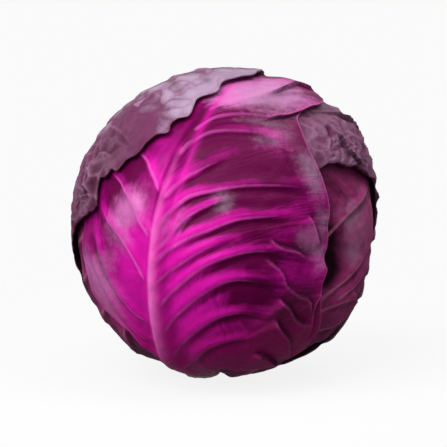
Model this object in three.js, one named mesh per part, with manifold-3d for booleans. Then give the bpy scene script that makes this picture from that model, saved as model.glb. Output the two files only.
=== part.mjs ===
// A head of red cabbage, as cut and trimmed for sale, resting on its cut stem.
//
// Millimetres, +Z up. The origin is on the surface that the head rests on, under the middle of the head.
// -Y is the front, where the broad front leaf shows its midrib.
//
// The head is a heart of tightly folded inner leaves, wrapped in seven outer leaves that grow from the stem.
// A leaf is laid out by two angles about the middle of the head. "Along" runs up its midrib: 0 at the stem,
// 90 at mid height, 180 at the crown. "Across" runs sideways from the midrib, and is positive to the right of
// somebody who faces the leaf from outside.

import * as THREE from 'three';
import { mergeVertices } from 'three/addons/utils/BufferGeometryUtils.js';
import Module from 'manifold-3d';

// Driving dimensions.
const HEAD_WIDTH = 164;
const HEAD_DEPTH = 160;
const HEAD_HEIGHT = 168;
const CENTRE_HEIGHT = 84.6; // middle of the head above the surface it rests on
const HEAD_LEAN = 5; // degrees, crown towards +X
const LEAF_THICKNESS = 1.0;
const LEAF_PITCH = 3.2; // from one leaf to the next where they overlap
const REST_CLEARANCE = 0.6; // leaf bases stay this far off the surface

// Fuller upper right shoulder of the globe.
const SHOULDER = { azimuth: 92, height: 42, rise: 4.5, spread: 24 };
// Hollow that the stem stands in.
const STEM_HOLLOW = { depth: 2, spread: 20 };
// Deep fold beside the front leaf's right margin, which only the leaves under it follow.
const DEEP_FOLD = { azimuth: 52, height: -2, depth: 7, across: 7, along: 20 };

// How a leaf lies down over the margin of a leaf above it: pressed in up to here, and free again from there.
const PRESSED_UNTIL = 10;
const FREE_FROM = 24;

// The stem, with heights above its cut: a foot at the cut's radius, a taper, and a shank with a bevelled top.
// It stands a little to the left of the head's own axis.
const STEM = { left: 4, cutRadius: 14, topRadius: 12, footTop: 2, taperTop: 9, bevel: 3, length: 32 };
const STEM_CLEARANCE = 0.4; // between the stem and the heart's socket
const STEM_FACETS = 40;
const TRIM_ALLOWANCE = 6; // extra stem below the rest surface, which the level cut takes off
const TRIM_BLOCK = { side: 120, height: 60 };

const BLADE_CELLS = 18; // along each side of a blade's grid
const BLADE_MIDDLE = 96; // how far along a leaf the middle of its grid is, in degrees
const LOWEST_ALONG = -60; // past the stem on the far side; angles below it are counted on past the crown
const MIDRIB_CROWDING = 1.1; // above 1 brings the columns of the grid closer to the midrib
const MIDRIB_TAPER = 0.8; // below 1 keeps the midrib tall for longer
const THINNEST_MIDRIB = 0.5; // width at its end, as a share of its width at the stem
const HEART_CELLS = { around: 36, up: 24 };
const OUTLINE_SAMPLES = 360;

const radians = THREE.MathUtils.degToRad;
const degrees = THREE.MathUtils.radToDeg;

// Outlines run round the blade from the tip, down the right margin to the base and up the left margin.
// Each point is [along, across] in degrees, and the two margins have the same number of points.
function plainOutline(tip, halfWidth) {
  const base = 12.5;
  const shape = [[0.9, 0.62], [0.74, 0.92], [0.52, 1], [0.3, 0.82], [0.12, 0.42]];
  const margin = shape.map(([share, width]) => [base + (tip - base) * share, halfWidth * width]);
  const left = margin.map(([along, across]) => [along, -across]).reverse();
  return [[tip, 0], ...margin, [base + 0.5, 7], [base, 0], [base + 0.5, -7], ...left];
}

// Outermost leaf first. Each leaf lies on top of those after it, except where its stalk stands free of them:
// within proudUntil degrees of the stem, fading by proudUntil + PROUD_FADE.
const PROUD_FADE = 16;
const LEAVES = [
  {
    name: 'crown_leaf', azimuth: -135, roll: 0, colour: 0x74496b,
    midrib: { width: 8, height: 4.5, end: 165 },
    outline: [
      [190, 15], [194, 34], [188, 54], [160, 67], [119, 72], [78, 64], [34, 34],
      [13, 7], [12.5, 0], [13, -7],
      [34, -38], [66, -60], [104, -67], [140, -62], [168, -44], [184, -14],
    ],
  },
  {
    name: 'front_leaf', azimuth: -28, roll: 6, colour: 0xb4188a, proudUntil: 22,
    midrib: { width: 8.5, height: 7.5, end: 172 },
    outline: [
      [192, 4], [186, 28], [160, 46], [136, 66], [90, 73.5], [40, 69], [2, 52], [4, 28], [22, 20],
      [13, 7], [12.5, 0], [13, -7],
      [36, -6], [47, -24], [62, -36], [84, -43], [114, -44], [150, -38], [180, -18],
    ],
  },
  {
    name: 'shoulder_leaf', azimuth: 125, roll: 0, colour: 0x7b4f6c,
    midrib: { width: 8, height: 5, end: 160 },
    outline: [
      [186, 0], [172, 42], [142, 64], [104, 69], [62, 58], [30, 34],
      [13, 7], [12.5, 0], [13, -7],
      [42, -24], [80, -28], [108, -33], [134, -49], [166, -56],
    ],
  },
  {
    name: 'right_leaf', azimuth: 48, roll: 0, colour: 0x773c5a,
    midrib: { width: 8, height: 5, end: 150 },
    outline: [
      [162, 0], [150, 38], [122, 62], [88, 64], [62, 50], [52, 28], [44, 8],
      [13, 6], [12.5, 0], [13, -7],
      [30, -24], [56, -44], [84, -56], [112, -58], [136, -48], [152, -26],
    ],
  },
  {
    name: 'left_leaf', azimuth: -90, roll: 0, colour: 0x84386a,
    midrib: { width: 7.5, height: 5, end: 140 }, outline: plainOutline(152, 64),
  },
  {
    name: 'back_leaf', azimuth: 176, roll: -4, colour: 0x8c3a70,
    midrib: { width: 8, height: 5, end: 150 }, outline: plainOutline(164, 68),
  },
  {
    name: 'lower_right_leaf', azimuth: 88, roll: 4, colour: 0x5f2444,
    midrib: { width: 7.5, height: 4.5, end: 130 }, outline: plainOutline(146, 62),
  },
];

// The direction at an azimuth (0 is -Y, 90 is +X) and a height angle above the middle of the head.
function compass(azimuth, height) {
  const [turn, rise] = [radians(azimuth), radians(height)];
  return new THREE.Vector3(Math.sin(turn) * Math.cos(rise), -Math.cos(turn) * Math.cos(rise), Math.sin(rise));
}

const lean = new THREE.Matrix4().makeRotationY(radians(HEAD_LEAN));
const stemPole = new THREE.Vector3(0, 0, -1);
const shoulderPole = compass(SHOULDER.azimuth, SHOULDER.height);
const bell = (distance, spread) => Math.exp(-0.5 * (distance / spread) ** 2);

// The smooth outside of the head, before any leaf is pressed in by another.
function headRadius(direction) {
  const { x, y, z } = direction;
  const globe = 0.5 / Math.hypot(x / HEAD_WIDTH, y / HEAD_DEPTH, z / HEAD_HEIGHT);
  const fromShoulder = degrees(direction.angleTo(shoulderPole));
  const fromStem = degrees(direction.angleTo(stemPole));
  return globe
    + SHOULDER.rise * bell(fromShoulder, SHOULDER.spread)
    - STEM_HOLLOW.depth * bell(fromStem, STEM_HOLLOW.spread);
}

// The radius at which a direction meets the surface below the head.
function floorRadius(direction) {
  const down = -direction.clone().applyMatrix4(lean).z;
  return down > 0 ? (CENTRE_HEIGHT - REST_CLEARANCE) / down : Infinity;
}

// A leaf's own axes: out of the middle of its blade, up its midrib, and across it.
function leafAxes({ azimuth, roll }) {
  const out = compass(azimuth, 0);
  const level = compass(azimuth + 90, 0);
  const turn = radians(roll);
  const up = new THREE.Vector3(0, 0, Math.cos(turn)).addScaledVector(level, Math.sin(turn));
  const side = new THREE.Vector3(0, 0, -Math.sin(turn)).addScaledVector(level, Math.cos(turn));
  return { out, up, side };
}

function directionOn(leaf, along, across) {
  const { out, up, side } = leaf.axes;
  const [a, b] = [radians(along), radians(across)];
  return new THREE.Vector3()
    .addScaledVector(up, -Math.cos(a) * Math.cos(b))
    .addScaledVector(out, Math.sin(a) * Math.cos(b))
    .addScaledVector(side, Math.sin(b));
}

function anglesOn(leaf, direction) {
  const { out, up, side } = leaf.axes;
  const along = degrees(Math.atan2(direction.dot(out), -direction.dot(up)));
  const across = degrees(Math.asin(THREE.MathUtils.clamp(direction.dot(side), -1, 1)));
  return { along: along < LOWEST_ALONG ? along + 360 : along, across };
}

// Adds what the layout needs to a leaf: its axes and its margin, as angles and as directions.
function prepare(leaf) {
  leaf.axes = leafAxes(leaf);
  leaf.curve = new THREE.CatmullRomCurve3(
    leaf.outline.map(([along, across]) => new THREE.Vector3(across, along, 0)), true, 'catmullrom', 0.5);
  leaf.margin = Array.from({ length: OUTLINE_SAMPLES }, (_, i) => leaf.curve.getPoint(i / OUTLINE_SAMPLES));
  leaf.marginDirections = leaf.margin.map((p) => directionOn(leaf, p.y, p.x));
  const lengths = leaf.curve.getLengths(OUTLINE_SAMPLES);
  leaf.shareToBase = lengths[OUTLINE_SAMPLES / 2] / lengths[OUTLINE_SAMPLES];
}
LEAVES.forEach(prepare);

function isOnBlade(leaf, direction) {
  const { along, across } = anglesOn(leaf, direction);
  let inside = false;
  leaf.margin.forEach((p, i) => {
    const q = leaf.margin[(i + 1) % OUTLINE_SAMPLES];
    if ((p.y > along) !== (q.y > along) && across < p.x + (along - p.y) / (q.y - p.y) * (q.x - p.x)) {
      inside = !inside;
    }
  });
  return inside;
}

// 0 where a layer's stalk stands free of the leaves around it, and 1 where they can press on it.
function pressable(layer, direction) {
  const proud = LEAVES[layer]?.proudUntil;
  if (!proud) return 1;
  return THREE.MathUtils.smoothstep(degrees(direction.angleTo(stemPole)), proud, proud + PROUD_FADE);
}

// 1 where a leaf presses on what is under it, fading to 0 clear of its margin.
function cover(leaf, direction) {
  if (isOnBlade(leaf, direction)) return 1;
  const nearest = Math.max(...leaf.marginDirections.map((p) => p.dot(direction)));
  const gap = Math.acos(Math.min(1, nearest)) * HEAD_WIDTH / 2;
  return 1 - THREE.MathUtils.smoothstep(gap, PRESSED_UNTIL, FREE_FROM);
}

function deepFold(direction) {
  const { azimuth, height, depth, across, along } = DEEP_FOLD;
  const turn = degrees(Math.atan2(direction.x, -direction.y)) - azimuth;
  const rise = degrees(Math.asin(direction.z)) - height;
  return depth * bell(turn, across) * bell(rise, along);
}

// How far in a layer lies, under the leaves that come before it in LEAVES.
function depthOf(layer, direction) {
  const fold = layer > 1 ? deepFold(direction) : 0;
  const pitch = LEAF_PITCH * pressable(layer, direction);
  return LEAVES.slice(0, layer).reduce((depth, leaf) => depth + pitch * cover(leaf, direction), fold);
}

// Height of the midrib above the blade. It thins towards the tip and where another leaf lies on it.
function midribHeight(layer, along, across, direction) {
  const { width, height, end } = LEAVES[layer].midrib;
  const taper = Math.max(0, 1 - along / end) ** MIDRIB_TAPER;
  const sideways = radians(across) * HEAD_WIDTH / 2;
  const halfWidth = width / 2 * (THINNEST_MIDRIB + (1 - THINNEST_MIDRIB) * taper);
  const pressed = Math.max(0, ...LEAVES.slice(0, layer).map((leaf) => cover(leaf, direction)));
  return height * taper * bell(sideways, halfWidth) * (1 - pressed * pressable(layer, direction));
}

// A point of the margin: the tip at turn 0 and 1, the base at a half, and even steps along each margin.
function marginPoint(leaf, turn) {
  const share = leaf.shareToBase;
  return leaf.curve.getPointAt(turn < 0.5 ? 2 * turn * share : share + (2 * turn - 1) * (1 - share));
}

// A square grid bent into a blade: [-1, 1] squared goes to the unit disc, and the disc to the outline.
function bladeGrid(leaf) {
  const centre = new THREE.Vector3(0, BLADE_MIDDLE, 0);
  const steps = Array.from({ length: BLADE_CELLS + 1 }, (_, i) => 2 * i / BLADE_CELLS - 1);
  return steps.map((y) => steps.map((x) => {
    const crowded = Math.sign(x) * Math.abs(x) ** MIDRIB_CROWDING;
    const u = crowded * Math.sqrt(1 - y * y / 2);
    const v = y * Math.sqrt(1 - crowded * crowded / 2);
    const turn = (Math.atan2(u, v) / (2 * Math.PI) + 1) % 1;
    const edge = marginPoint(leaf, turn);
    const spot = centre.clone().lerp(edge, Math.min(1, Math.hypot(u, v)));
    return { along: spot.y, across: spot.x };
  }));
}

// Joins two grids of points, outer over inner, into one closed skin.
function closedSkin(outer, inner) {
  const rows = outer.length;
  const columns = outer[0].length;
  const onOuter = (row, column) => row * columns + column;
  const onInner = (row, column) => rows * columns + row * columns + column;
  const triangles = [];
  const quad = (a, b, c, d) => triangles.push(a, b, c, a, c, d);
  for (let row = 0; row < rows - 1; row++) {
    for (let column = 0; column < columns - 1; column++) {
      const [near, far] = [[row, column], [row + 1, column + 1]];
      const [beside, above] = [[row, column + 1], [row + 1, column]];
      quad(onOuter(...near), onOuter(...beside), onOuter(...far), onOuter(...above));
      quad(onInner(...near), onInner(...above), onInner(...far), onInner(...beside));
    }
  }
  const rim = [];
  for (let column = 0; column < columns - 1; column++) rim.push([0, column]);
  for (let row = 0; row < rows - 1; row++) rim.push([row, columns - 1]);
  for (let column = columns - 1; column > 0; column--) rim.push([rows - 1, column]);
  for (let row = rows - 1; row > 0; row--) rim.push([row, 0]);
  rim.forEach((spot, i) => {
    const next = rim[(i + 1) % rim.length];
    quad(onInner(...spot), onInner(...next), onOuter(...next), onOuter(...spot));
  });
  const points = [...outer.flat(), ...inner.flat()].flatMap((p) => [p.x, p.y, p.z]);
  return new THREE.BufferGeometry()
    .setAttribute('position', new THREE.Float32BufferAttribute(points, 3))
    .setIndex(triangles);
}

function leafGeometry(layer) {
  const leaf = LEAVES[layer];
  const grid = bladeGrid(leaf).map((row) => row.map(({ along, across }) => {
    const direction = directionOn(leaf, along, across);
    const blade = headRadius(direction) - depthOf(layer, direction);
    const rib = midribHeight(layer, along, across, direction);
    const outside = Math.min(blade + rib, floorRadius(direction));
    return {
      outer: direction.clone().multiplyScalar(outside),
      inner: direction.clone().multiplyScalar(Math.min(blade, outside) - LEAF_THICKNESS),
    };
  }));
  return closedSkin(grid.map((row) => row.map((p) => p.outer)), grid.map((row) => row.map((p) => p.inner)));
}

function solidMaterial(colour) {
  return new THREE.MeshStandardMaterial({ color: colour, roughness: 0.45, metalness: 0 });
}

function namedMesh(name, geometry, colour) {
  geometry.computeVertexNormals();
  const mesh = new THREE.Mesh(geometry, solidMaterial(colour));
  mesh.name = name;
  return mesh;
}

// manifold-3d joins and cuts closed meshes.
const wasm = await Module();
wasm.setup();

function toSolid(geometry) {
  const bare = geometry.clone();
  bare.deleteAttribute('normal');
  bare.deleteAttribute('uv');
  const merged = mergeVertices(bare, 1e-3);
  return new wasm.Manifold(new wasm.Mesh({
    numProp: 3,
    vertProperties: merged.attributes.position.array,
    triVerts: new Uint32Array(merged.index.array),
  }));
}

function toGeometry(solid) {
  const { vertProperties, triVerts } = solid.getMesh();
  return new THREE.BufferGeometry()
    .setAttribute('position', new THREE.BufferAttribute(vertProperties, 3))
    .setIndex(new THREE.BufferAttribute(triVerts, 1));
}

// The stem's round body on the head's own axis, grown by a clearance where it is used as a cutter.
function stemBody(clearance) {
  const foot = STEM.cutRadius + clearance;
  const shank = STEM.topRadius + clearance;
  const top = STEM.length + clearance;
  const profile = [
    [0, -TRIM_ALLOWANCE], [foot, -TRIM_ALLOWANCE], [foot, STEM.footTop],
    [shank, STEM.taperTop], [shank, top - STEM.bevel], [shank - STEM.bevel, top], [0, top],
  ].map(([radius, height]) => new THREE.Vector2(radius, height - CENTRE_HEIGHT));
  return new THREE.LatheGeometry(profile, STEM_FACETS).rotateX(Math.PI / 2).translate(-STEM.left, 0, 0);
}

// The heart fills the space inside the outer leaves, with a socket where the stem runs up into it.
function heartGeometry() {
  const ball = new THREE.SphereGeometry(1, HEART_CELLS.around, HEART_CELLS.up).rotateX(Math.PI / 2);
  const spots = ball.attributes.position;
  for (let i = 0; i < spots.count; i++) {
    const direction = new THREE.Vector3().fromBufferAttribute(spots, i).normalize();
    const radius = headRadius(direction) - depthOf(LEAVES.length, direction);
    spots.setXYZ(i, ...direction.multiplyScalar(radius).toArray());
  }
  return toGeometry(toSolid(ball).subtract(toSolid(stemBody(STEM_CLEARANCE))));
}

// The stem leans with the head, and its cut is level, so that it stands flat on the surface.
function stemGeometry() {
  const upright = new THREE.Matrix4().makeTranslation(0, 0, CENTRE_HEIGHT).multiply(lean);
  const { side, height } = TRIM_BLOCK;
  const below = new THREE.BoxGeometry(side, side, height).translate(0, 0, -height / 2);
  return toGeometry(toSolid(stemBody(0).applyMatrix4(upright)).subtract(toSolid(below)));
}

const head = new THREE.Group();
head.position.z = CENTRE_HEIGHT;
head.rotation.y = radians(HEAD_LEAN);
head.add(namedMesh('heart', heartGeometry(), 0x7a2a66));
LEAVES.forEach((leaf, layer) => head.add(namedMesh(leaf.name, leafGeometry(layer), leaf.colour)));

const cabbage = new THREE.Group();
cabbage.add(head, namedMesh('stem', stemGeometry(), 0xd8c6b4));

// The middle of the head's own box goes over the origin.
const box = new THREE.Box3().setFromObject(cabbage, true);
cabbage.position.set(-(box.min.x + box.max.x) / 2, -(box.min.y + box.max.y) / 2, 0);

export default cabbage;
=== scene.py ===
"""A head of red cabbage: a heart of folded leaves, seven outer leaves wrapped round it, a short cut stem.

Millimetres and degrees in the shapes, metres in the finished meshes. A leaf is laid out by two angles about
the middle of the head. "Along" runs up its midrib, 0 at the stem and 180 at the crown. "Across" runs
sideways from the midrib, positive to the right of somebody who faces the leaf. -Y is the front.
"""

import math

import bpy
import numpy as np
from bpy.props import FloatProperty, FloatVectorProperty, IntProperty, PointerProperty
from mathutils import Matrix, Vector


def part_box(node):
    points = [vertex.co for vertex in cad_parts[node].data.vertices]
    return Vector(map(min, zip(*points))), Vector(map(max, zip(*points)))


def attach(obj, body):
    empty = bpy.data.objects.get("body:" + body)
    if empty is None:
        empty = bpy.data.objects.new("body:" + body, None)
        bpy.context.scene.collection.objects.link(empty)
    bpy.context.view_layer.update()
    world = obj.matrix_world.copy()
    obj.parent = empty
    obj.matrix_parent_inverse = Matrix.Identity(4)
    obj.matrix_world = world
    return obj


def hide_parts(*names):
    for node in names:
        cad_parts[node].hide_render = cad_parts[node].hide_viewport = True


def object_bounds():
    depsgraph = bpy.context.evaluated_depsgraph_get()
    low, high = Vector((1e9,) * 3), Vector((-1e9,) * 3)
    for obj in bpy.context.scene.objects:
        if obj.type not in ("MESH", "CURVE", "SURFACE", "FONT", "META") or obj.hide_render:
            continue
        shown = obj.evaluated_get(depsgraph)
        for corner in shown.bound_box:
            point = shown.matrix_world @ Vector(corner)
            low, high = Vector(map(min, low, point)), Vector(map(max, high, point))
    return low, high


bl_info = {
    "name": "Red cabbage head",
    "version": (1, 0, 0),
    "blender": (4, 5, 0),
    "location": "View3D > Sidebar > Cabbage",
    "description": "Builds the leaves, heart and stem of a red cabbage, and a plain studio around it",
    "category": "Object",
}

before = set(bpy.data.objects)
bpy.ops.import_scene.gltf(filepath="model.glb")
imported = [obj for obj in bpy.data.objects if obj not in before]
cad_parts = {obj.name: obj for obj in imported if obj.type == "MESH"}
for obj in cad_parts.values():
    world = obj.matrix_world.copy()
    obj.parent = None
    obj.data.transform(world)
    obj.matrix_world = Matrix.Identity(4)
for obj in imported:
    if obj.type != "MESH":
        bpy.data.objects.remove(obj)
CAD_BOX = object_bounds()

MM = 0.001
HEAD_RADIUS = 82  # about, to turn angles round the middle of the head into distances
MILLIMETRES_PER_DEGREE = math.radians(1) * HEAD_RADIUS
STEM_POLE = np.array([0.0, 0.0, -1.0])
HEAD_OFFSET = (-0.755, -0.086)  # of the head's middle from the frame's upright axis
NOISE_RADIUS = 80  # of the sphere on which the globe's own noise is read
CURVE_STEPS = 16


# ---------------------------------------------------------------- sizes a user would change

class CabbageHeadSettings(bpy.types.PropertyGroup):
    """Sizes of the whole head."""

    width: FloatProperty(
        name="Width", description="Side to side, without the shoulder", default=0.164, unit="LENGTH")
    depth: FloatProperty(
        name="Depth", description="Front to back", default=0.160, unit="LENGTH")
    height: FloatProperty(
        name="Height", description="Stem to crown", default=0.168, unit="LENGTH")
    centre_height: FloatProperty(
        name="Centre height", description="Middle of the head above the surface", default=0.0846,
        unit="LENGTH")
    lean: FloatProperty(
        name="Lean", description="Crown towards the right", default=math.radians(5), subtype="ANGLE")
    seed: IntProperty(
        name="Seed", description="Changes every random detail", default=11, min=0)


class CabbageLeafSettings(bpy.types.PropertyGroup):
    """Sizes and colours of the outer leaves."""

    thickness: FloatProperty(
        name="Thickness", description="Of a blade between its veins", default=0.0009, unit="LENGTH")
    pitch: FloatProperty(
        name="Pitch", description="From one leaf to the next where they overlap", default=0.0021,
        unit="LENGTH")
    cells: IntProperty(
        name="Cells", description="Cells along each side of a blade's outer grid", default=272,
        min=24, max=288)
    deep: FloatVectorProperty(
        name="Deep purple", description="Blade in the hollows between the veins", subtype="COLOR", size=3,
        default=(0.098, 0.0007, 0.042), min=0, max=1)
    magenta: FloatVectorProperty(
        name="Magenta", description="Blade beside the midrib and the side veins", subtype="COLOR", size=3,
        default=(0.62, 0.007, 0.34), min=0, max=1)
    vein: FloatVectorProperty(
        name="Vein pink", description="Midrib and veins", subtype="COLOR", size=3,
        default=(0.86, 0.10, 0.56), min=0, max=1)
    # Darker maroon at the front leaf's wine spots: partly its own colour, partly painted shade, most of it on
    # the leaf's lower right.
    wine: FloatVectorProperty(
        name="Wine", description="Blade that had more weather", subtype="COLOR", size=3,
        default=(0.150, 0.012, 0.064), min=0, max=1)
    lilac: FloatVectorProperty(
        name="Lilac", description="Thin wax over the bright blade", subtype="COLOR", size=3,
        default=(0.58, 0.15, 0.43), min=0, max=1)
    bloom: FloatVectorProperty(
        name="Bloom", description="Thick grey wax", subtype="COLOR", size=3,
        default=(0.34, 0.235, 0.345), min=0, max=1)


class CabbageStemSettings(bpy.types.PropertyGroup):
    """Sizes and colours of the cut stem."""

    bundles: IntProperty(
        name="Bundles", description="Fibre bundles round the cut", default=34, min=6)
    bundle_radius: FloatProperty(
        name="Bundle radius", description="Of one fibre bundle", default=0.0007, unit="LENGTH")
    flesh: FloatVectorProperty(
        name="Flesh", description="Cut flesh", subtype="COLOR", size=3,
        default=(0.62, 0.52, 0.40), min=0, max=1)
    skin: FloatVectorProperty(
        name="Skin", description="Rind of the stem", subtype="COLOR", size=3,
        default=(0.36, 0.13, 0.22), min=0, max=1)


class CabbageStageSettings(bpy.types.PropertyGroup):
    """Camera, light and floor."""

    azimuth: FloatProperty(
        name="Azimuth", description="Of the camera, from the front", default=0.0, subtype="ANGLE")
    elevation: FloatProperty(
        name="Elevation", description="Of the camera, above the horizon", default=math.radians(8),
        subtype="ANGLE")
    distance: FloatProperty(
        name="Distance", description="From the camera to the middle of the head", default=0.9, unit="LENGTH")
    lens: FloatProperty(
        name="Lens", description="Focal length", default=133.0, unit="CAMERA")
    key_power: FloatProperty(
        name="Key light", description="Of the large soft light at the upper left", default=18.5, unit="POWER")
    white: FloatProperty(
        name="White", description="Brightness of the surroundings as the camera sees them", default=0.956)
    world_strength: FloatProperty(
        name="Surroundings", description="Brightness of the surroundings as light on the head", default=0.40)
    floor_glow: FloatProperty(
        name="Floor glow", description="How little shadow the floor takes", default=0.90, subtype="FACTOR")
    floor_colour: FloatVectorProperty(
        name="Floor", description="Colour of the floor", subtype="COLOR", size=3, default=(0.93, 0.93, 0.93))


# ---------------------------------------------------------------- small sums on arrays

def unit(vectors):
    return vectors / np.linalg.norm(vectors, axis=-1, keepdims=True)


def bell(distance, spread):
    return np.exp(-0.5 * (distance / spread) ** 2)


def smoothstep(value, low, high):
    t = np.clip((value - low) / (high - low), 0, 1)
    return t * t * (3 - 2 * t)


def compass(azimuth, height=0.0):
    """Direction at an azimuth (0 is -Y, 90 is +X) and a height angle above the middle of the head."""
    turn, rise = math.radians(azimuth), math.radians(height)
    return np.array([math.sin(turn) * math.cos(rise), -math.cos(turn) * math.cos(rise), math.sin(rise)])


def angle_between(directions, pole):
    return np.degrees(np.arccos(np.clip(directions @ pole, -1, 1)))


def smooth_curve(points, closed):
    """Catmull-Rom curve through points, with CURVE_STEPS steps in each span."""
    points = np.array(points, float)
    if closed:
        padded = np.concatenate([points[-1:], points, points[:2]])
    else:
        padded = np.concatenate([2 * points[:1] - points[1:2], points, 2 * points[-1:] - points[-2:-1]])
    t = np.linspace(0, 1, CURVE_STEPS, endpoint=False)[:, None]
    spans = []
    for a, b, c, d in zip(padded, padded[1:], padded[2:], padded[3:]):
        spans.append(0.5 * (2 * b + (c - a) * t + (2 * a - 5 * b + 4 * c - d) * t ** 2
                            + (3 * b - a - 3 * c + d) * t ** 3))
    curve = np.concatenate(spans)
    return curve if closed else np.concatenate([curve, points[-1:]])


def evenly_spaced(curve, count):
    """The same open curve as count points, in even steps along it."""
    steps = np.linalg.norm(np.diff(curve, axis=0), axis=1)
    reached = np.concatenate([[0], np.cumsum(steps)])
    wanted = np.linspace(0, reached[-1], count)
    return np.stack([np.interp(wanted, reached, curve[:, axis]) for axis in range(curve.shape[1])], axis=1)


class SmoothNoise:
    """Smooth random field in space, between -1 and 1."""

    SIZE = 32

    def __init__(self, seed):
        self.table = np.random.default_rng(seed).uniform(-1, 1, (self.SIZE,) * 3)

    def __call__(self, points, wavelength):
        scaled = points / wavelength
        cell = np.floor(scaled).astype(int)
        part = scaled - cell
        part = part * part * (3 - 2 * part)
        total = 0.0
        for dx in (0, 1):
            for dy in (0, 1):
                for dz in (0, 1):
                    corner = self.table[tuple(((cell + (dx, dy, dz)) % self.SIZE).T)]
                    weight = np.prod(np.abs(1 - np.array([dx, dy, dz]) - part), axis=1)
                    total = total + corner * weight
        return total


def nearest_cells(points, spacing, seed):
    """Distances to the nearest two of randomly spread points, and the nearest one's own number."""
    low, high = points.min(axis=0) - spacing, points.max(axis=0) + spacing
    counts = np.maximum(1, np.ceil((high - low) / spacing).astype(int))
    table = np.random.default_rng(seed).uniform(0, 1, (*(counts + 2), 4))
    cell = np.floor((points - low) / spacing).astype(int)
    first = np.full(len(points), 1e9)
    second = first.copy()
    own = np.zeros(len(points))
    for offset in np.ndindex(3, 3, 3):
        near = np.clip(cell + np.array(offset) - 1, 0, counts + 1)
        values = table[tuple(near.T)]
        distance = np.linalg.norm(points - low - (near + values[:, :3]) * spacing, axis=1)
        closer = distance < first
        second = np.where(closer, first, np.minimum(second, distance))
        own = np.where(closer, values[:, 3], own)
        first = np.minimum(first, distance)
    return first, second, own


# ---------------------------------------------------------------- the globe that the leaves lie on

# Places where the head bulges or is flattened: azimuth, height, rise in millimetres, spread in degrees.
BULGES = [
    (92, 42, 4.5, 24), (92, -36, 2.5, 15), (92, 2, -1.5, 12), (-92, -24, -1.2, 18), (-84, -57, 1.0, 10),
]
STEM_HOLLOW = {"depth": 2.0, "spread": 20}
DEEP_FOLD = {"azimuth": 47, "height": -2, "depth": 9.0, "across": 7, "along": 17}
REST_CLEARANCE = 0.4
UNEVENNESS = {"rise": 0.7, "wavelength": 34}


class Globe:
    """The smooth outside of the head, before any leaf is pressed in by another."""

    def __init__(self, settings):
        self.size = np.array([settings.width, settings.depth, settings.height]) / MM
        self.centre_height = settings.centre_height / MM
        self.lean = settings.lean
        self.noise = SmoothNoise(settings.seed)

    def radius(self, directions):
        plain = 0.5 / np.linalg.norm(directions / self.size, axis=1)
        bulges = sum(rise * bell(angle_between(directions, compass(azimuth, height)), spread)
                     for azimuth, height, rise, spread in BULGES)
        hollow = STEM_HOLLOW["depth"] * bell(angle_between(directions, STEM_POLE), STEM_HOLLOW["spread"])
        uneven = UNEVENNESS["rise"] * self.noise(directions * NOISE_RADIUS + 200, UNEVENNESS["wavelength"])
        return plain + bulges - hollow + uneven

    def floor_radius(self, directions):
        """Radius at which a direction meets the surface below the head."""
        down = directions[:, 0] * math.sin(self.lean) - directions[:, 2] * math.cos(self.lean)
        return (self.centre_height - REST_CLEARANCE) / np.maximum(down, 1e-3)

    def deep_fold(self, directions):
        turn = np.degrees(np.arctan2(directions[:, 0], -directions[:, 1])) - DEEP_FOLD["azimuth"]
        rise = np.degrees(np.arcsin(np.clip(directions[:, 2], -1, 1))) - DEEP_FOLD["height"]
        return DEEP_FOLD["depth"] * bell(turn, DEEP_FOLD["across"]) * bell(rise, DEEP_FOLD["along"])

    def in_frame(self, points):
        """Points about the middle of the head, turned and moved to the CAD frame, in metres."""
        x, y, z = points.T
        lean = self.lean
        turned = [x * math.cos(lean) + z * math.sin(lean), y, z * math.cos(lean) - x * math.sin(lean)]
        moved = np.stack(turned, axis=1) + (*HEAD_OFFSET, self.centre_height)
        return moved * MM


# ---------------------------------------------------------------- lines drawn on a leaf

class Line:
    """A curve drawn on a leaf through [along, across] points."""

    def __init__(self, leaf, points, samples=90):
        self.directions = leaf.directions(evenly_spaced(smooth_curve(points, closed=False), samples))
        self.tangents = unit(np.gradient(self.directions, axis=0))
        self.normals = unit(np.cross(self.tangents, self.directions))

    def near(self, directions, radius):
        """Signed distance, positive on the right of somebody who walks the line and faces the leaf, the share
        of the line passed by then, and how far the point lies beyond either end."""
        nearest = np.argmax(directions @ self.directions.T, axis=1)
        offset = (directions - self.directions[nearest]) * radius[:, None]
        sideways = np.einsum("ij,ij->i", offset, self.normals[nearest])
        beyond = np.abs(np.einsum("ij,ij->i", offset, self.tangents[nearest]))
        at_end = (nearest == 0) | (nearest == len(self.directions) - 1)
        return sideways, nearest / (len(self.directions) - 1), np.where(at_end, beyond, 0)


def faded_ends(share, beyond):
    """1 along a line's middle, fading to 0 at its ends."""
    return smoothstep(share, 0, 0.12) * smoothstep(1 - share, 0, 0.25) * bell(beyond, 1.5)


# ---------------------------------------------------------------- leaves, outermost first

# What a blade has where its leaf's own design says nothing else. Lengths are in millimetres.
PLAIN_BLADE = {
    "roll": 0,  # degrees by which the midrib is turned from upright
    "ripple": 1.0,  # how wavy the margin is
    "lift": 0.6,  # how far the margin stands off what is under it
    "foot": 0,  # how much the blade rises where it leaves the stem
    "proud_until": None,  # degrees from the stem within which no other leaf presses it in
    "swelling": 0.7,  # rise above each side vein, and fall below it
    "left_hollows": 1.0,  # hollows and streaks on the left half, as a share of those on the right
    "vein_rise": 0.5,  # height of a side vein's ridge
    "plates": 11.0,  # width of the plates between the smallest veins
    "plate_rise": 0.25,  # how domed the plates are
    "folds": [],  # lines of [along, across], with a height and a reach to each side
    "crumples": [],  # azimuth, height and spread of each crumpled place, its rise, its ridges' spacing
    "spots": {},  # by colour, azimuth, height, spread and strength of each spot
}
BLADE_BASE = 12.5
OVAL = [(0.9, 0.62), (0.74, 0.92), (0.52, 1.0), (0.3, 0.82), (0.12, 0.42)]  # shares of length and of width


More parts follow.
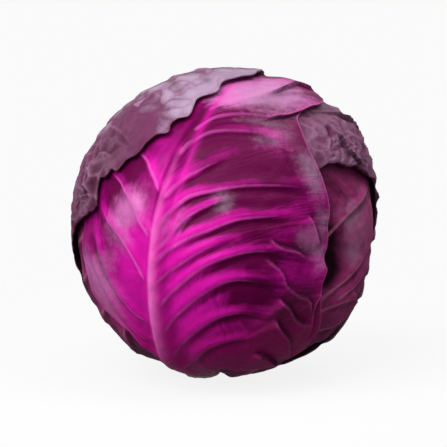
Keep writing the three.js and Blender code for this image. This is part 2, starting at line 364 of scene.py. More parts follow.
def paired_veins(first, last, count, reach):
    """Side veins in pairs, which leave the midrib upwards and bend over towards the margins."""
    veins = []
    for number in range(count):
        start = first + (last - first) * number / (count - 1)
        for side in (-1, 1):
            wander = 3 * math.sin(number * 2.3 + side)
            veins.append([
                (start + side * 2, side * 1.5), (start + 9, side * 0.28 * reach + wander / 2),
                (start + 19 + wander, side * 0.6 * reach), (start + 25 + wander, side * reach),
            ])
    return veins


def hidden_leaf(name, azimuth, roll, tip, half_width, rib_width, rib_end, veins):
    """A plain oval leaf that is mostly under the others."""
    right = [(BLADE_BASE + (tip - BLADE_BASE) * share, half_width * width) for share, width in OVAL]
    right.append((BLADE_BASE + 0.5, 7))
    return {
        "name": name, "slot": "purple_leaf", "azimuth": azimuth, "roll": roll, "tip": (tip, 0),
        "right": right,
        "left": [(along, -across) for along, across in reversed(right)],
        "midrib": {"width": rib_width, "height": 4, "end": rib_end},
        "veins": veins,
    }


CROWN_LEAF = {
    "name": "crown_leaf", "slot": "grey_leaf", "azimuth": -135, "tip": (185.5, -8), "ripple": 0.4,
    "lift": 1.0, "swelling": 0.5,
    "right": [
        (191.5, 0), (194.5, 6), (194, 12.5), (193, 19.5), (197, 25), (194, 30.5), (196, 34.5), (199, 39.5),
        (195, 42.5), (195, 45.5), (199, 49), (193, 52.5), (190.5, 55.5), (190, 60), (181, 64.5),
        (175.5, 68.5), (165, 68), (159, 70.5), (146, 71), (133, 78.5), (117.5, 78), (99.5, 75), (84, 67),
        (70, 57), (59, 47), (46, 36), (30, 24), (13, 7),
    ],
    "left": [(13, -7), (34, -38), (66, -60), (104, -67), (140, -60), (162, -42), (173, -24)],
    "midrib": {"width": 8, "height": 4.5, "end": 165},
    "veins": [
        *paired_veins(24, 138, 9, 62),
        [(156.5, 26.5), (170, 33.5), (183, 38.5), (195, 43)],
        [(145.5, 44.5), (161.5, 52), (177.5, 58), (187.5, 59)],
        [(156, 12), (170, 20.5), (183.5, 29), (194.5, 33.5)],
        [(166.5, 8.5), (178.5, 12.5), (188, 18.5), (194, 21.5)],
        [(122, 48), (138, 54.5), (156, 63)],
    ],
    "folds": [
        {"height": 1.6, "reach": 7, "line": [
            (114, 71), (124, 64.5), (138.5, 59), (152, 59.5), (164.5, 63.5),
        ]},
        {"height": 1.3, "reach": 6, "line": [(85, 59), (99, 63.5), (113, 67), (131.5, 74)]},
    ],
    "crumples": [(-66, 14, 14, 2.0, 8.5)],
    "spots": {
        "wine": [(-57, 30, 12, 0.8), (-60, 20, 10, 0.8), (-42, 36, 7, 0.3)],
        "deep": [(-58, 27, 9, 0.5), (-60, 24, 7, 0.35), (-61, 10, 10, 0.6), (-65, -3, 10, 0.5)],
        "lilac": [
            (-37, 61, 12, 0.35), (-17, 71, 12, 0.5), (-54, 49, 9, 0.2), (10, 76, 9, 0.6), (-24, 54, 5, 0.5),
        ],
    },
}

FRONT_LEAF = {
    "name": "front_leaf", "slot": "magenta_leaf", "azimuth": -22, "roll": 2, "tip": (191, 8),
    "proud_until": 22, "ripple": 0.12, "lift": 0.3, "foot": 0.6, "swelling": 0.9, "left_hollows": 0.3,
    "plates": 9.0, "plate_rise": 0.12, "vein_rise": 0.3,
    "right": [
        (196, 16), (197, 23), (192, 29), (184, 32.5), (176.5, 33.5), (169, 32.5), (159, 32), (153.5, 35),
        (147, 40.5), (141, 47.5), (136.5, 52.5), (124.5, 59.5), (112, 61.5), (98, 63.5), (86.5, 63),
        (75, 64.5), (65, 62.5), (56.5, 61.5), (43, 60), (31, 58), (19.5, 54), (10, 46), (8, 42), (10, 38),
        (14, 34), (17, 29), (19.5, 22.5), (26.5, 17.5), (24.5, 13), (21.5, 9), (13, 7),
    ],
    "left": [
        (13, -5.5), (32, -9.5), (40, -12), (46, -17), (48, -27.5), (51.5, -36), (61.5, -38.5), (75.5, -42),
        (88.5, -43), (117.5, -42.5), (149.5, -33.5), (172, -13),
    ],
    "midrib": {
        "width": 13.5, "height": 5.8, "end": 178,
        "line": [
            (11, -2), (25, -1.5), (45, -0.8), (70, -1.3), (88, -1.8), (105, -1.4), (120, -0.2), (140, 1),
            (172, 2),
        ],
    },
    "veins": [
        [(78.5, -2.5), (85, 1.5), (91.5, 9.5), (96, 17), (101.5, 25.5), (106, 37), (112, 52)],
        [(70, -3), (75.5, 1), (82.5, 8.5), (89, 16.5), (95.5, 27)],
        [(60, -3), (67.5, 2.5), (75.5, 9.5), (83, 18), (88.5, 29), (90.5, 40.5), (88.5, 53)],
        [(48, -2), (57, 3.5), (68, 13), (76, 24), (76.5, 34), (71.5, 47)],
        [(36.5, -0.5), (44.5, 5), (53.5, 12), (60, 20.5), (61.5, 30.5), (55.5, 42)],
        [(27.5, 1.5), (34, 7.5), (44, 14.5), (48, 25.5), (44, 37)],
        [(92.5, -1.5), (99.5, 1.5), (106, 7), (110.5, 15.5), (115.5, 25.5), (121, 38), (131, 55)],
        [(103.5, -1), (110.5, 2.5), (116, 8), (120, 12), (125.5, 18.5)],
        [(119, 0), (126, 2.5), (132, 8), (136, 16), (140, 27), (143, 38)],
        [(130.5, 1.5), (137, 5), (142.5, 12.5), (147.5, 22.5), (153, 34)],
        [(141, 2.5), (148.5, 8.5), (156, 16), (169.5, 24), (180.5, 28.5)],
        [(85, -2), (90, 2), (99, 8), (107, 18), (112.5, 27)],
        [(89, -4.5), (95, -10), (102, -15.5), (109.5, -24.5), (114.5, -35)],
        [(72, -5.5), (80, -10.5), (88, -18.5), (94.5, -28.5), (101.5, -38)],
        [(53, -5), (59.5, -14.5), (66.5, -21.5), (74.5, -26.5), (84, -31), (92, -36)],
        [(42, -6), (46, -11.5), (53, -19.5), (61.5, -26.5), (71.5, -33.5), (81, -38)],
        [(33, -6), (39.5, -12.5), (44.5, -18.5), (48, -26)],
        [(105.5, -3.5), (111.5, -7.5), (118.5, -14), (124.5, -24.5), (129.5, -35.5)],
    ],
    "spots": {
        # Glow spots brighten the blade: partly its own paler magenta, partly painted light.
        "glow": [
            (-9, -7, 10, 0.6), (-11, -19, 11, 0.7), (-15, -31, 9, 0.6), (-14, -44, 7, 0.4), (-29, -4, 8, 0.8),
            (-29, -20, 9, 0.8), (3, -14, 4, 0.2), (-20, 5, 7, 0.3), (-11, 21, 6, 0.2), (-3, 32, 4, 0.4),
            (21, 42, 5, 0.4), (28, -27, 8, 0.5), (11, 23, 3, 0.3), (20, 10, 6, 0.4), (24, -9, 5, 0.4),
            (40, -7, 4, 0.45), (25, 41, 4, 0.35), (18, -38, 9, 0.3), (-33, 37, 5, 0.2), (-31, 25, 6, 0.4),
            (-40, -38, 9, 0.6),
        ],
        "lilac": [
            (-16, 8, 4, 0.5), (-6, 61, 6, 0.7), (-36, 10, 6, 0.9), (-45, 0, 7, 0.35), (8, 70, 12, 0.55),
            (44, 63, 12, 0.6), (-50, -24, 9, 0.5), (-58, -33, 8, 0.5), (-63, -16, 7, 0.6), (-22, 2, 4, 0.5),
            (40, -4, 5, 0.4), (-52, -46, 9, 0.3),
        ],
        "grey": [
            (-58, -28, 9, 0.5), (-50, -15, 7, 0.5), (-39, -2, 6, 0.6), (30, 4, 4, 0.5), (-1, 16, 4, 0.8),
            (35, 30, 5, 0.8), (37, 22, 4, 0.6), (36, 2, 5, 0.5), (-46, 8, 6, 0.4), (42, 62, 14, 0.7),
            (14, 62, 9, 0.4), (41, -11, 5, 0.4), (16, 41, 6, 0.4), (26, 41, 4, 0.25), (39, 11, 4, 0.7),
            (40, -3, 4, 0.5),
        ],
        "deep": [
            (-9, 13, 4, 0.6), (2, 28, 8, 0.3), (12, 17, 6, 0.4), (19, 18, 7, 0.5), (14, 29, 7, 0.4),
            (-2, -6, 5, 0.3), (15, 3, 5, 0.6), (26, 3, 5, 0.5), (11, -19, 6, 0.4), (1, -12, 4, 0.5),
            (16, -11, 5, 0.7), (9, -19, 5, 0.5), (17, -18, 5, 0.3), (-2, 23, 5, 0.5), (-13, 39, 5, 0.55),
            (-16, 8, 4, 0.35), (14, 25, 4, 0.25), (-4, -23, 4, 0.4), (12, -30, 6, 0.3), (12, -44, 8, 0.3),
            (6, 51, 8, 0.5), (-1, 59, 7, 0.45), (24, 51, 7, 0.4), (-11, 32, 6, 0.4), (-17, 46, 6, 0.5),
            (-38, 28, 5, 0.7), (-44, 19, 6, 0.8), (-26, 22, 5, 0.2), (34, 42, 7, 0.6), (-12, 38, 6, 0.3),
        ],
        # Wine spots darken the blade: partly its own maroon, partly painted shade towards its lower and right
        # edges.
        "wine": [
            (32, -24, 8, 0.6), (40, -30, 10, 0.7), (27, -53, 14, 0.6), (36, -42, 10, 0.6),
            (-56, -36, 12, 0.5), (-50, -12, 7, 0.4), (95, 65, 16, 0.7), (25, 11, 4, 0.3), (38, 12, 5, 0.4),
            (30, 44, 9, 0.6),
        ],
    },
    "folds": [
        {"height": 1.9, "reach": 8, "line": [
            (87.5, 38), (82.5, 43.5), (78, 46), (73, 47), (67.5, 50), (63, 52.5), (57, 56), (42, 55.5),
        ]},
        {"height": 2.4, "reach": 9, "line": [
            (66.5, 43.5), (63, 45.5), (58.5, 47.5), (50, 49), (41.5, 51.5), (33, 55),
        ]},
        {"height": 2.4, "reach": 9, "line": [
            (55.5, 41), (52.5, 42), (44.5, 43.5), (36.5, 44.5), (26.5, 43), (10.5, 39),
        ]},
        {"height": 2.2, "reach": 7, "line": [(36.5, 30), (34, 32.5), (28, 34.5), (20, 35), (9.5, 34)]},
        {"height": 1.3, "reach": 4, "line": [
            (59, 61.5), (55, 61), (47.5, 57.5), (34, 54.5), (25, 51), (17.5, 47.5),
        ]},
        {"height": 1.8, "reach": 8, "line": [
            (197, 24), (192, 22), (186, 20.5), (176, 21.5), (165, 21), (158, 17),
        ]},
        {"height": 1.4, "reach": 8, "line": [
            (184, 34.5), (175, 34), (165, 32.5), (157, 30.5), (150, 26.5), (143, 20),
        ]},
        {"height": 1.2, "reach": 6, "line": [(113.5, 52), (108, 56), (100, 59), (94, 61)]},
        {"height": 1.0, "reach": 6, "line": [(96.5, 39), (93, 44), (91.5, 50.5), (86, 56.5)]},
    ],
}

SHOULDER_LEAF = {
    "name": "shoulder_leaf", "slot": "grey_leaf", "azimuth": 125, "tip": (189.5, -5), "lift": 1.0,
    "right": [(175, 39.5), (142, 64), (104, 69), (62, 58), (30, 34), (13, 7)],
    "left": [
        (13, -7), (38.5, -32), (80.5, -36.5), (108.5, -39.5), (120, -42.5), (132.5, -49.5), (146, -54),
        (159, -57), (171, -59), (179, -55),
    ],
    "midrib": {"width": 8, "height": 5, "end": 160},
    "veins": paired_veins(24, 132, 8, 58),
    "folds": [
        {"height": 2.2, "reach": 7, "line": [
            (150, -35), (145.5, -41.5), (144.5, -46.5), (136.5, -47), (130, -44.5),
        ]},
        {"height": 1.6, "reach": 6, "line": [(144, -28.5), (133.5, -33), (126.5, -37), (122, -41)]},
        {"height": 2.4, "reach": 6, "line": [
            (132.5, -28.5), (138.5, -25.5), (150, -29.5), (162.5, -33.5), (171, -36),
        ]},
        {"height": 1.8, "reach": 5, "line": [(137, -51), (147.5, -50), (153, -46), (160, -43)]},
    ],
    "crumples": [(52, 39, 18, 2.2, 7.5), (77, 34, 25, 1.3, 10)],
    "spots": {
        "wine": [(60, 40, 22, 0.8)],
        "deep": [(47, 27, 7, 0.8), (55, 50, 6, 0.6), (69, 26, 8, 0.5)],
    },
}

RIGHT_LEAF = {
    "name": "right_leaf", "slot": "purple_leaf", "azimuth": 43, "tip": (158.5, -2.5), "ripple": 0.8,
    "lift": 0.9, "swelling": 0.5,
    "right": [
        (147.5, 33), (124, 61), (89.5, 64), (64, 48), (56.5, 27.5), (53.5, 24), (50, 21), (45, 17.5),
        (40, 11.5), (13, 6),
    ],
    "left": [(13, -7), (36, -24.5), (62, -40.5), (86.5, -50.5), (108.5, -52.5), (129.5, -44.5), (146.5, -26)],
    "midrib": {"width": 6, "height": 3.0, "end": 150},
    "veins": [
        [(62.5, 4), (71, 9), (77.5, 16), (85, 23.5), (91, 32), (103, 39)],
        [(68, 12), (74.5, 23), (81.5, 32), (88, 35.5)],
        [(60.5, 6), (66, 13.5), (67, 23), (64, 29)],
        [(119, 34.5), (111, 36.5), (99, 36.5), (86, 37)],
        [(49, 2.5), (57.5, 23), (66.5, 29), (76.5, 33)],
        [(91, 3), (102, 12), (112, 26.5), (117.5, 39)],
        *paired_veins(60, 130, 5, 50)[::2],
    ],
    "folds": [
        {"height": 1.2, "reach": 5, "line": [(71.5, 21.5), (68, 24.5), (64.5, 27.5), (62, 31.5)]},
    ],
    "crumples": [(45, 23, 9, 1.4, 6)],
    "spots": {
        # Deep spots: painted shadow in the dark gaps between the right leaf and the leaves over it.
        "deep": [
            (45, 5, 4, 1.3), (46, -7, 4.5, 1.6), (47, -14, 4, 1.2), (45, 25, 6, 0.7), (51, 2, 5, 0.55),
            (52, -9, 5, 0.4),
        ],
        "grey": [(64, 7, 9, 0.4), (66, -6, 9, 0.3), (60, -3, 5, 0.6), (55, 15, 6, 0.5)],
        "glow": [(70, 3, 9, 0.9), (60, -20, 8, 0.6), (76, -30, 12, 0.6)],
    },
}

LEAVES = [
    CROWN_LEAF,
    FRONT_LEAF,
    SHOULDER_LEAF,
    RIGHT_LEAF,
    hidden_leaf("left_leaf", -90, 0, 152, 64, 7.5, 140, paired_veins(24, 120, 7, 56)),
    hidden_leaf("back_leaf", 176, -4, 164, 68, 8, 150, paired_veins(24, 130, 8, 58)),
    hidden_leaf("lower_right_leaf", 88, 4, 146, 62, 7.5, 130, paired_veins(24, 116, 7, 54)),
]

BLADE_MIDDLE = (96.0, 0.0)
LOWEST_ALONG = -60
MARGIN_SAMPLES = 900
PRESSED_UNTIL = 1.0  # millimetres outside the margin
FREE_FROM = 15.0
PROUD_FADE = 16  # degrees
MARGIN_BLOCK = 8000  # directions compared with the margin at a time
RIPPLE_REACH = 0.011
THIN_MARGIN = 0.45  # thickness at the margin, as a share of the blade's
FOOT_SPREAD = 9  # degrees
DEEPEST_RELIEF = -0.75


class Leaf:
    """One outer leaf's layout: its axes, margin and lines."""

    def __init__(self, design, layer):
        self.design = PLAIN_BLADE | design
        self.layer = layer
        turn = math.radians(self.design["roll"])
        level = compass(design["azimuth"] + 90)
        upright = np.array([0.0, 0.0, 1.0])
        self.out = compass(design["azimuth"])
        self.up = upright * math.cos(turn) + level * math.sin(turn)
        self.side = level * math.cos(turn) - upright * math.sin(turn)
        self.lay_margin(design["right"], design["left"])
        self.veins = [Line(self, points) for points in design["veins"]]
        self.vein_sides = [1 if points[-1][1] > points[0][1] else -1 for points in design["veins"]]
        self.folds = [(Line(self, fold["line"]), fold) for fold in self.design["folds"]]
        straight = [(11, 0), (60, 0), (110, 0), (design["midrib"]["end"], 0)]
        self.midrib = Line(self, design["midrib"].get("line", straight), samples=240)

    def directions(self, points):
        along, across = np.radians(points.T)
        return (np.outer(-np.cos(along) * np.cos(across), self.up)
                + np.outer(np.sin(along) * np.cos(across), self.out)
                + np.outer(np.sin(across), self.side))

    def angles(self, directions):
        along = np.degrees(np.arctan2(directions @ self.out, -(directions @ self.up)))
        along = np.where(along < LOWEST_ALONG, along + 360, along)
        across = np.degrees(np.arcsin(np.clip(directions @ self.side, -1, 1)))
        return np.stack([along, across], axis=1)

    def lay_margin(self, right, left):
        """The rippled margin in even steps, down the right from tip to base and back up the left."""
        base = (BLADE_BASE, 0)
        curve = smooth_curve([self.design["tip"], *right, base, *left], closed=True)
        split = (len(right) + 1) * CURVE_STEPS
        half = MARGIN_SAMPLES // 2
        halves = [evenly_spaced(curve[:split + 1], half + 1)[:-1],
                  evenly_spaced(np.concatenate([curve[split:], curve[:1]]), half + 1)[:-1]]
        margin = np.concatenate(halves)
        step = np.arange(MARGIN_SAMPLES)
        phase = step * 2 * math.pi / MARGIN_SAMPLES
        waves = (np.sin(phase * 23 + self.layer) + 0.6 * np.sin(phase * 41 + 2 * self.layer)
                 + 0.5 * np.sin(phase * 67 + 3))
        away_from_base = smoothstep(np.abs(step - half) / half, 0.12, 0.4)
        reach = 1 + RIPPLE_REACH * self.design["ripple"] * waves * away_from_base
        self.margin = np.array(BLADE_MIDDLE) + (margin - BLADE_MIDDLE) * reach[:, None]
        self.margin_directions = self.directions(self.margin)

    def covers(self, directions):
        """True where a direction meets the blade."""
        along, across = self.angles(directions).T
        inside = np.zeros(len(directions), bool)
        following = np.roll(self.margin, -1, axis=0)
        for (a0, b0), (a1, b1) in zip(self.margin, following):
            if a0 != a1:
                level = (a0 > along) != (a1 > along)
                inside ^= level & (across < b0 + (along - a0) / (a1 - a0) * (b1 - b0))
        return inside

    def from_margin(self, directions):
        """Distance to the margin in millimetres."""
        nearest = np.full(len(directions), -1.0)
        for start in range(0, len(directions), MARGIN_BLOCK):
            block = slice(start, start + MARGIN_BLOCK)
            nearest[block] = (directions[block] @ self.margin_directions.T).max(axis=1)
        return np.arccos(np.clip(nearest, -1, 1)) * HEAD_RADIUS

    def press(self, directions):
        """1 where this leaf presses on what is under it, fading to 0 clear of its margin."""
        spread = 1 - smoothstep(self.from_margin(directions), PRESSED_UNTIL, FREE_FROM)
        return np.where(self.covers(directions), 1.0, spread)

    def grid(self, cells):
        """[along, across] of a square grid bent into the blade."""
        steps = np.linspace(-1, 1, cells + 1)
        x, y = np.meshgrid(steps, steps)
        u = (x * np.sqrt(1 - y * y / 2)).ravel()
        v = (y * np.sqrt(1 - x * x / 2)).ravel()
        turn = (np.arctan2(u, v) / (2 * math.pi)) % 1 * MARGIN_SAMPLES
        whole = np.floor(turn).astype(int)
        part = (turn - whole)[:, None]
        here = self.margin[whole % MARGIN_SAMPLES]
        following = self.margin[(whole + 1) % MARGIN_SAMPLES]
        edge = here * (1 - part) + following * part
        reach = np.minimum(1, np.hypot(u, v))[:, None]
        return np.array(BLADE_MIDDLE) * (1 - reach) + edge * reach


class Drape:
    """Lays the leaves over the globe, one over another."""

    def __init__(self, globe, leaves, pitch):
        self.globe = globe
        self.leaves = leaves
        self.pitch = pitch

    def pressed(self, layer, directions):
        """How many leaves press on a layer, and whether any does."""
        presses = [leaf.press(directions) for leaf in self.leaves[:layer]]
        if not presses:
            return np.zeros(len(directions)), np.zeros(len(directions))
        return np.sum(presses, axis=0), np.max(presses, axis=0)

    def surface(self, layer, directions):
        """Smooth outer radius of a layer, and how firmly it is pressed."""
        count, firmness = self.pressed(layer, directions)
        proud = self.leaves[layer].design["proud_until"] if layer < len(self.leaves) else None
        if proud:
            free = smoothstep(angle_between(directions, STEM_POLE), proud, proud + PROUD_FADE)
            count, firmness = count * free, firmness * free
        radius = self.globe.radius(directions) - self.pitch * count
        if layer > 1:
            radius = radius - self.globe.deep_fold(directions)
        return radius, firmness


# ---------------------------------------------------------------- relief of a leaf's blade

# Millimetres, where nothing else is said. A place is a distance from the middle of a rib, vein or fold.
RIB_TIP_WIDTH = 0.3  # as a share of its width at the stem
RIB_SQUARENESS = 2.8  # 2 is a round ridge, more has flatter tops and steeper flanks
FURROW_PLACE = 1.7  # half widths of the rib
FURROW_WIDTH = 0.5  # half widths of the rib
VEIN_WIDTH = 0.95
SWELLING_PLACE, SWELLING_WIDTH = 1.7, 1.9  # on a vein's upper side
HOLLOW_PLACE, HOLLOW_WIDTH = 3.1, 1.7  # on its lower side
FLOW_WIDTH = 14
FOLD_SUNK = 0.45  # depth on a fold's sunk side, as a share of its height
LIP_PLACE, LIP_WIDTH = 0.6, 0.5
CRUMPLE_SEED, FINE_CRUMPLE_SEED = 40, 140
FINE_CRUMPLE = 0.42  # spacing of the fine ridges, as a share of the coarse ones'
PLATE_SEED = 7
PLATE_WARP, PLATE_WARP_WAVELENGTH = 3.0, 18
BLADE_WAVES = [(0.45, 0, 23), (0.28, 90, 9), (0.10, 50, 3.5)]  # height, shift of the noise, wavelength


def midrib_relief(leaf, directions, radius):
    """Height of the midrib with the furrow on each side of it, and masks of both."""
    shape = leaf.design["midrib"]
    sideways, share, beyond = leaf.midrib.near(directions, radius)
    taper = np.clip(1 - share, 0, 1)
    half_width = shape["width"] / 2 * (RIB_TIP_WIDTH + (1 - RIB_TIP_WIDTH) * taper ** 1.3)
    ridge = np.exp(-np.abs(sideways / half_width) ** RIB_SQUARENESS)
    furrow = bell(np.abs(sideways) - FURROW_PLACE * half_width, FURROW_WIDTH * half_width)
    ends = bell(np.maximum(beyond - 1, 0), 3)
    root = 0.2 + 0.8 * smoothstep(share, 0.03, 0.2)
    height = (shape["height"] * root * taper ** 1.1 * ridge - (0.3 + 0.9 * taper) * furrow) * ends
    masks = {
        "rib": ridge * ends * smoothstep(1 - share, 0, 0.9),
        "furrow": furrow * ends * np.where(sideways > 0, 1.0, 0.35),
        "rib_side": sideways / half_width,
        "rib_share": share,
    }
    return height, masks


def vein_relief(leaf, directions, radius):
    """Side veins: a fine ridge, a swelling above each and a hollow below, with a mask of each.

    The mask called flow changes by one step across each vein, so its contours run along the veins.
    """
    amount = len(directions)
    ridge, swelling, hollow, flow = (np.zeros(amount) for _ in range(4))
    for line, side in zip(leaf.veins, leaf.vein_sides):
        sideways, share, beyond = line.near(directions, radius)
        below = sideways * side
        near = smoothstep(1 - share, 0, 0.3) * smoothstep(share, -0.02, 0.08) * bell(beyond, 1.5)
        ridge = np.maximum(ridge, near * bell(below, VEIN_WIDTH - 0.4 * share) * (1 - 0.55 * share))
        swelling = np.maximum(swelling, near * bell(below + SWELLING_PLACE, SWELLING_WIDTH))
        depth = 1.0 if side > 0 else leaf.design["left_hollows"]
        sunk = depth * near * bell(below - HOLLOW_PLACE, HOLLOW_WIDTH) * smoothstep(share, 0.05, 0.35)
        hollow = np.maximum(hollow, sunk)
        flow += side * np.clip(below / FLOW_WIDTH + 0.5, 0, 1)
    height = leaf.design["vein_rise"] * ridge + leaf.design["swelling"] * (swelling - hollow)
    return height, {"vein": ridge, "swelling": swelling, "hollow": hollow * (1 - swelling), "flow": flow}


def fold_relief(leaf, directions, radius):
    """Sharp folds: a mask of their lit edges and one of the shadows under them."""
    height, lip, shade = (np.zeros(len(directions)) for _ in range(3))
    for line, fold in leaf.folds:
        sideways, share, beyond = line.near(directions, radius)
        ends = faded_ends(share, beyond)
        raised = fold["height"] * np.exp(-np.abs(sideways) / fold["reach"])
        sunk = -FOLD_SUNK * fold["height"] * np.exp(-np.abs(sideways) / (0.6 * fold["reach"]))
        height += ends * np.where(sideways > 0, raised, sunk)
        lip = np.maximum(lip, ends * bell(sideways - LIP_PLACE, LIP_WIDTH))
        dark = np.where(sideways < 0, np.exp(sideways / 1.5), bell(sideways, 0.35))
        shade = np.maximum(shade, ends * dark)
    return height, {"lip": lip, "shade": shade}


def crumple_relief(leaf, directions, radius):
    """Sharp ridges like those of crumpled paper, round a few places on the globe."""
    height, crease = (np.zeros(len(directions)) for _ in range(2))
    places = directions * radius[:, None]
    for number, (azimuth, elevation, spread, rise, spacing) in enumerate(leaf.design["crumples"]):
        amount = bell(angle_between(directions, compass(azimuth, elevation)), spread)
        own_seed = leaf.layer * 5 + number
        fine_spacing = spacing * FINE_CRUMPLE
        first, second, own = nearest_cells(places, spacing, CRUMPLE_SEED + own_seed)
        fine_first, fine_second, _ = nearest_cells(places, fine_spacing, FINE_CRUMPLE_SEED + own_seed)
        ridge = 1 - np.clip((second - first) / (0.8 * spacing), 0, 1)
        fine = 1 - np.clip((fine_second - fine_first) / (0.35 * spacing), 0, 1)
        height += rise * amount * (ridge + 0.35 * fine + 0.5 * (own - 0.5) - 0.6)
        crease = np.maximum(crease, amount * ridge ** 4)
    return height, {"crease": crease}


def plate_relief(leaf, places, noise):
    """Plates between the net of small veins: slightly domed, each with its own shade."""
    warp = np.stack([noise(places + shift, PLATE_WARP_WAVELENGTH) for shift in (0, 55, 110)], axis=1)
    spacing = leaf.design["plates"]
    first, second, own = nearest_cells(places + PLATE_WARP * warp, spacing, leaf.layer + PLATE_SEED)
    inner = smoothstep(second - first, 0, 0.45 * spacing)
    return leaf.design["plate_rise"] * inner, {"plate": own, "plate_middle": inner}


def blade_relief(leaf, directions, radius, noise):
    """Everything that stands out of a leaf's smooth blade, and the masks that its material reads."""
    places = directions * radius[:, None] + 300
    rib, masks = midrib_relief(leaf, directions, radius)
    veins, vein_masks = vein_relief(leaf, directions, radius)
    folds, fold_masks = fold_relief(leaf, directions, radius)
    crumple, crumple_masks = crumple_relief(leaf, directions, radius)
    plates, plate_masks = plate_relief(leaf, places, noise)
    waves = sum(rise * noise(places + shift, wavelength) for rise, shift, wavelength in BLADE_WAVES)
    height = rib + veins * (1 - masks["rib"]) + folds + crumple + plates + waves
    for more in (vein_masks, fold_masks, crumple_masks, plate_masks, paint(leaf, directions)):
        masks.update(more)
    return height, masks


def paint(leaf, directions):
    """Masks of the listed spots of colour: brighter, lilac wax, grey wax, deep, wine."""
    # Glow spots are partly painted light, the front leaf's wine spots partly painted shade, and the right
    # leaf's deep spots painted shadow.
    masks = {name: np.zeros(len(directions)) for name in ("glow", "lilac", "grey", "deep", "wine")}
    for name, spots in leaf.design["spots"].items():
        for azimuth, height, spread, strength in spots:
            masks[name] += strength * bell(angle_between(directions, compass(azimuth, height)), spread)
    return masks


# ---------------------------------------------------------------- meshes

INNER_STEP = 4  # cells of a blade's outer grid to one of its inner grid
FIRST_HIDDEN_LAYER = 4  # from here on a leaf is mostly covered, and a coarser grid does


def grid_faces(cells, turned=False, start=0):
    size = cells + 1
    corner = (np.arange(cells)[:, None] * size + np.arange(cells)).ravel() + start
    faces = np.stack([corner, corner + 1, corner + size + 1, corner + size], axis=1)
    return faces[:, ::-1] if turned else faces


def grid_rim(cells):
    """Corners of a grid's edge, once round."""
    size = cells + 1
    steps = np.arange(cells)
    return np.concatenate([steps, steps * size + cells, size * size - 1 - steps, (cells - steps) * size])


def skin_faces(cells):
    """Faces of a closed skin: fine outer grid, coarse inner one turned round, and the rim between."""
    coarse = cells // INNER_STEP
    start = (cells + 1) ** 2
    outer = grid_rim(cells)
    inner = grid_rim(coarse) + start
    steps = np.arange(len(outer))
    half = INNER_STEP // 2
    nearest = inner[(steps // INNER_STEP + (steps % INNER_STEP >= half)) % len(inner)]
    teeth = np.stack([nearest, np.roll(outer, -1), outer], axis=1)
    spans = np.stack([inner, np.roll(inner, -1), outer[half::INNER_STEP]], axis=1)
    return [grid_faces(cells), grid_faces(coarse, turned=True, start=start), teeth, spans]


def mesh_object(name, points, faces, attributes, material):
    """A smooth mesh object from an array of points in metres and arrays of faces."""
    mesh = bpy.data.meshes.new(name)
    mesh.vertices.add(len(points))
    mesh.vertices.foreach_set("co", points.astype(np.float32).ravel())
    corners = np.concatenate([group.ravel() for group in faces]).astype(np.int32)
    counts = np.concatenate([np.full(len(group), group.shape[1]) for group in faces])
    starts = np.concatenate([[0], np.cumsum(counts)[:-1]]).astype(np.int32)
    mesh.loops.add(len(corners))
    mesh.loops.foreach_set("vertex_index", corners)
    mesh.polygons.add(len(counts))
    mesh.polygons.foreach_set("loop_start", starts)
    mesh.polygons.foreach_set("use_smooth", np.ones(len(counts), bool))
    for key, values in attributes.items():
        kind, field = ("FLOAT_VECTOR", "vector") if values.ndim == 2 else ("FLOAT", "value")
        mesh.attributes.new(key, kind, "POINT").data.foreach_set(field, values.astype(np.float32).ravel())
    mesh.update(calc_edges=True)
    mesh.validate()
    mesh.materials.append(material)
    piece = bpy.data.objects.new(name, mesh)
    bpy.context.scene.collection.objects.link(piece)
    return piece


def hand_over(piece, node, slot):
    """The finished piece takes the place of its CAD node."""
    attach(piece, "root")
    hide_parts(node)


def blade_lift(leaf, directions, from_margin, noise):
    """How far a blade stands off where nothing presses on it, at its margin."""
    uneven = 1 + 0.5 * noise(directions * NOISE_RADIUS + 700, 12)
    return leaf.design["lift"] * bell(from_margin, 4.0) * uneven


def skin_side(drape, leaf, cells, settings, noise, inner):
    """Points of one side of a leaf, in millimetres about the head's middle, with its masks."""
    places = leaf.grid(cells)
    directions = leaf.directions(places)
    radius, firmness = drape.surface(leaf.layer, directions)
    free = 1 - firmness
    from_margin = leaf.from_margin(directions)
    base = leaf.directions(np.array([[BLADE_BASE, 0]]))[0]
    foot = leaf.design["foot"] * bell(angle_between(directions, base), FOOT_SPREAD)
    smooth = radius + blade_lift(leaf, directions, from_margin, noise) * free + foot
    height, masks = blade_relief(leaf, directions, radius, noise)
    outside = smooth + np.maximum(height, DEEPEST_RELIEF) * free
    outside = np.minimum(outside, drape.globe.floor_radius(directions))
    if inner:
        fullness = THIN_MARGIN + (1 - THIN_MARGIN) * smoothstep(from_margin, 0, 5)
        outside = np.minimum(smooth, outside) - settings.thickness / MM * fullness
    calm = leaf.design["left_hollows"]
    masks["from_margin"] = from_margin
    along, across = places.T
    masks["grain"] = calm + (1 - calm) * smoothstep(across, -7, 3)
    masks["on_leaf"] = np.stack([across, along, np.zeros(len(places))], axis=1) * MILLIMETRES_PER_DEGREE
    return directions * outside[:, None], masks


def leaf_mesh(drape, leaf, settings, noise, material):
    """One leaf as a closed sheet with its relief and the masks that its material reads."""
    cells = settings.cells // INNER_STEP * INNER_STEP
    if leaf.layer >= FIRST_HIDDEN_LAYER:
        cells = cells // 2 // INNER_STEP * INNER_STEP
    outer, masks = skin_side(drape, leaf, cells, settings, noise, inner=False)
    inner, inner_masks = skin_side(drape, leaf, cells // INNER_STEP, settings, noise, inner=True)
    attributes = {key: np.concatenate([masks[key], inner_masks[key]]) for key in masks}
    points = drape.globe.in_frame(np.concatenate([outer, inner]))
    return mesh_object(leaf.design["name"] + "_blade", points, skin_faces(cells), attributes, material)


# ---------------------------------------------------------------- nodes

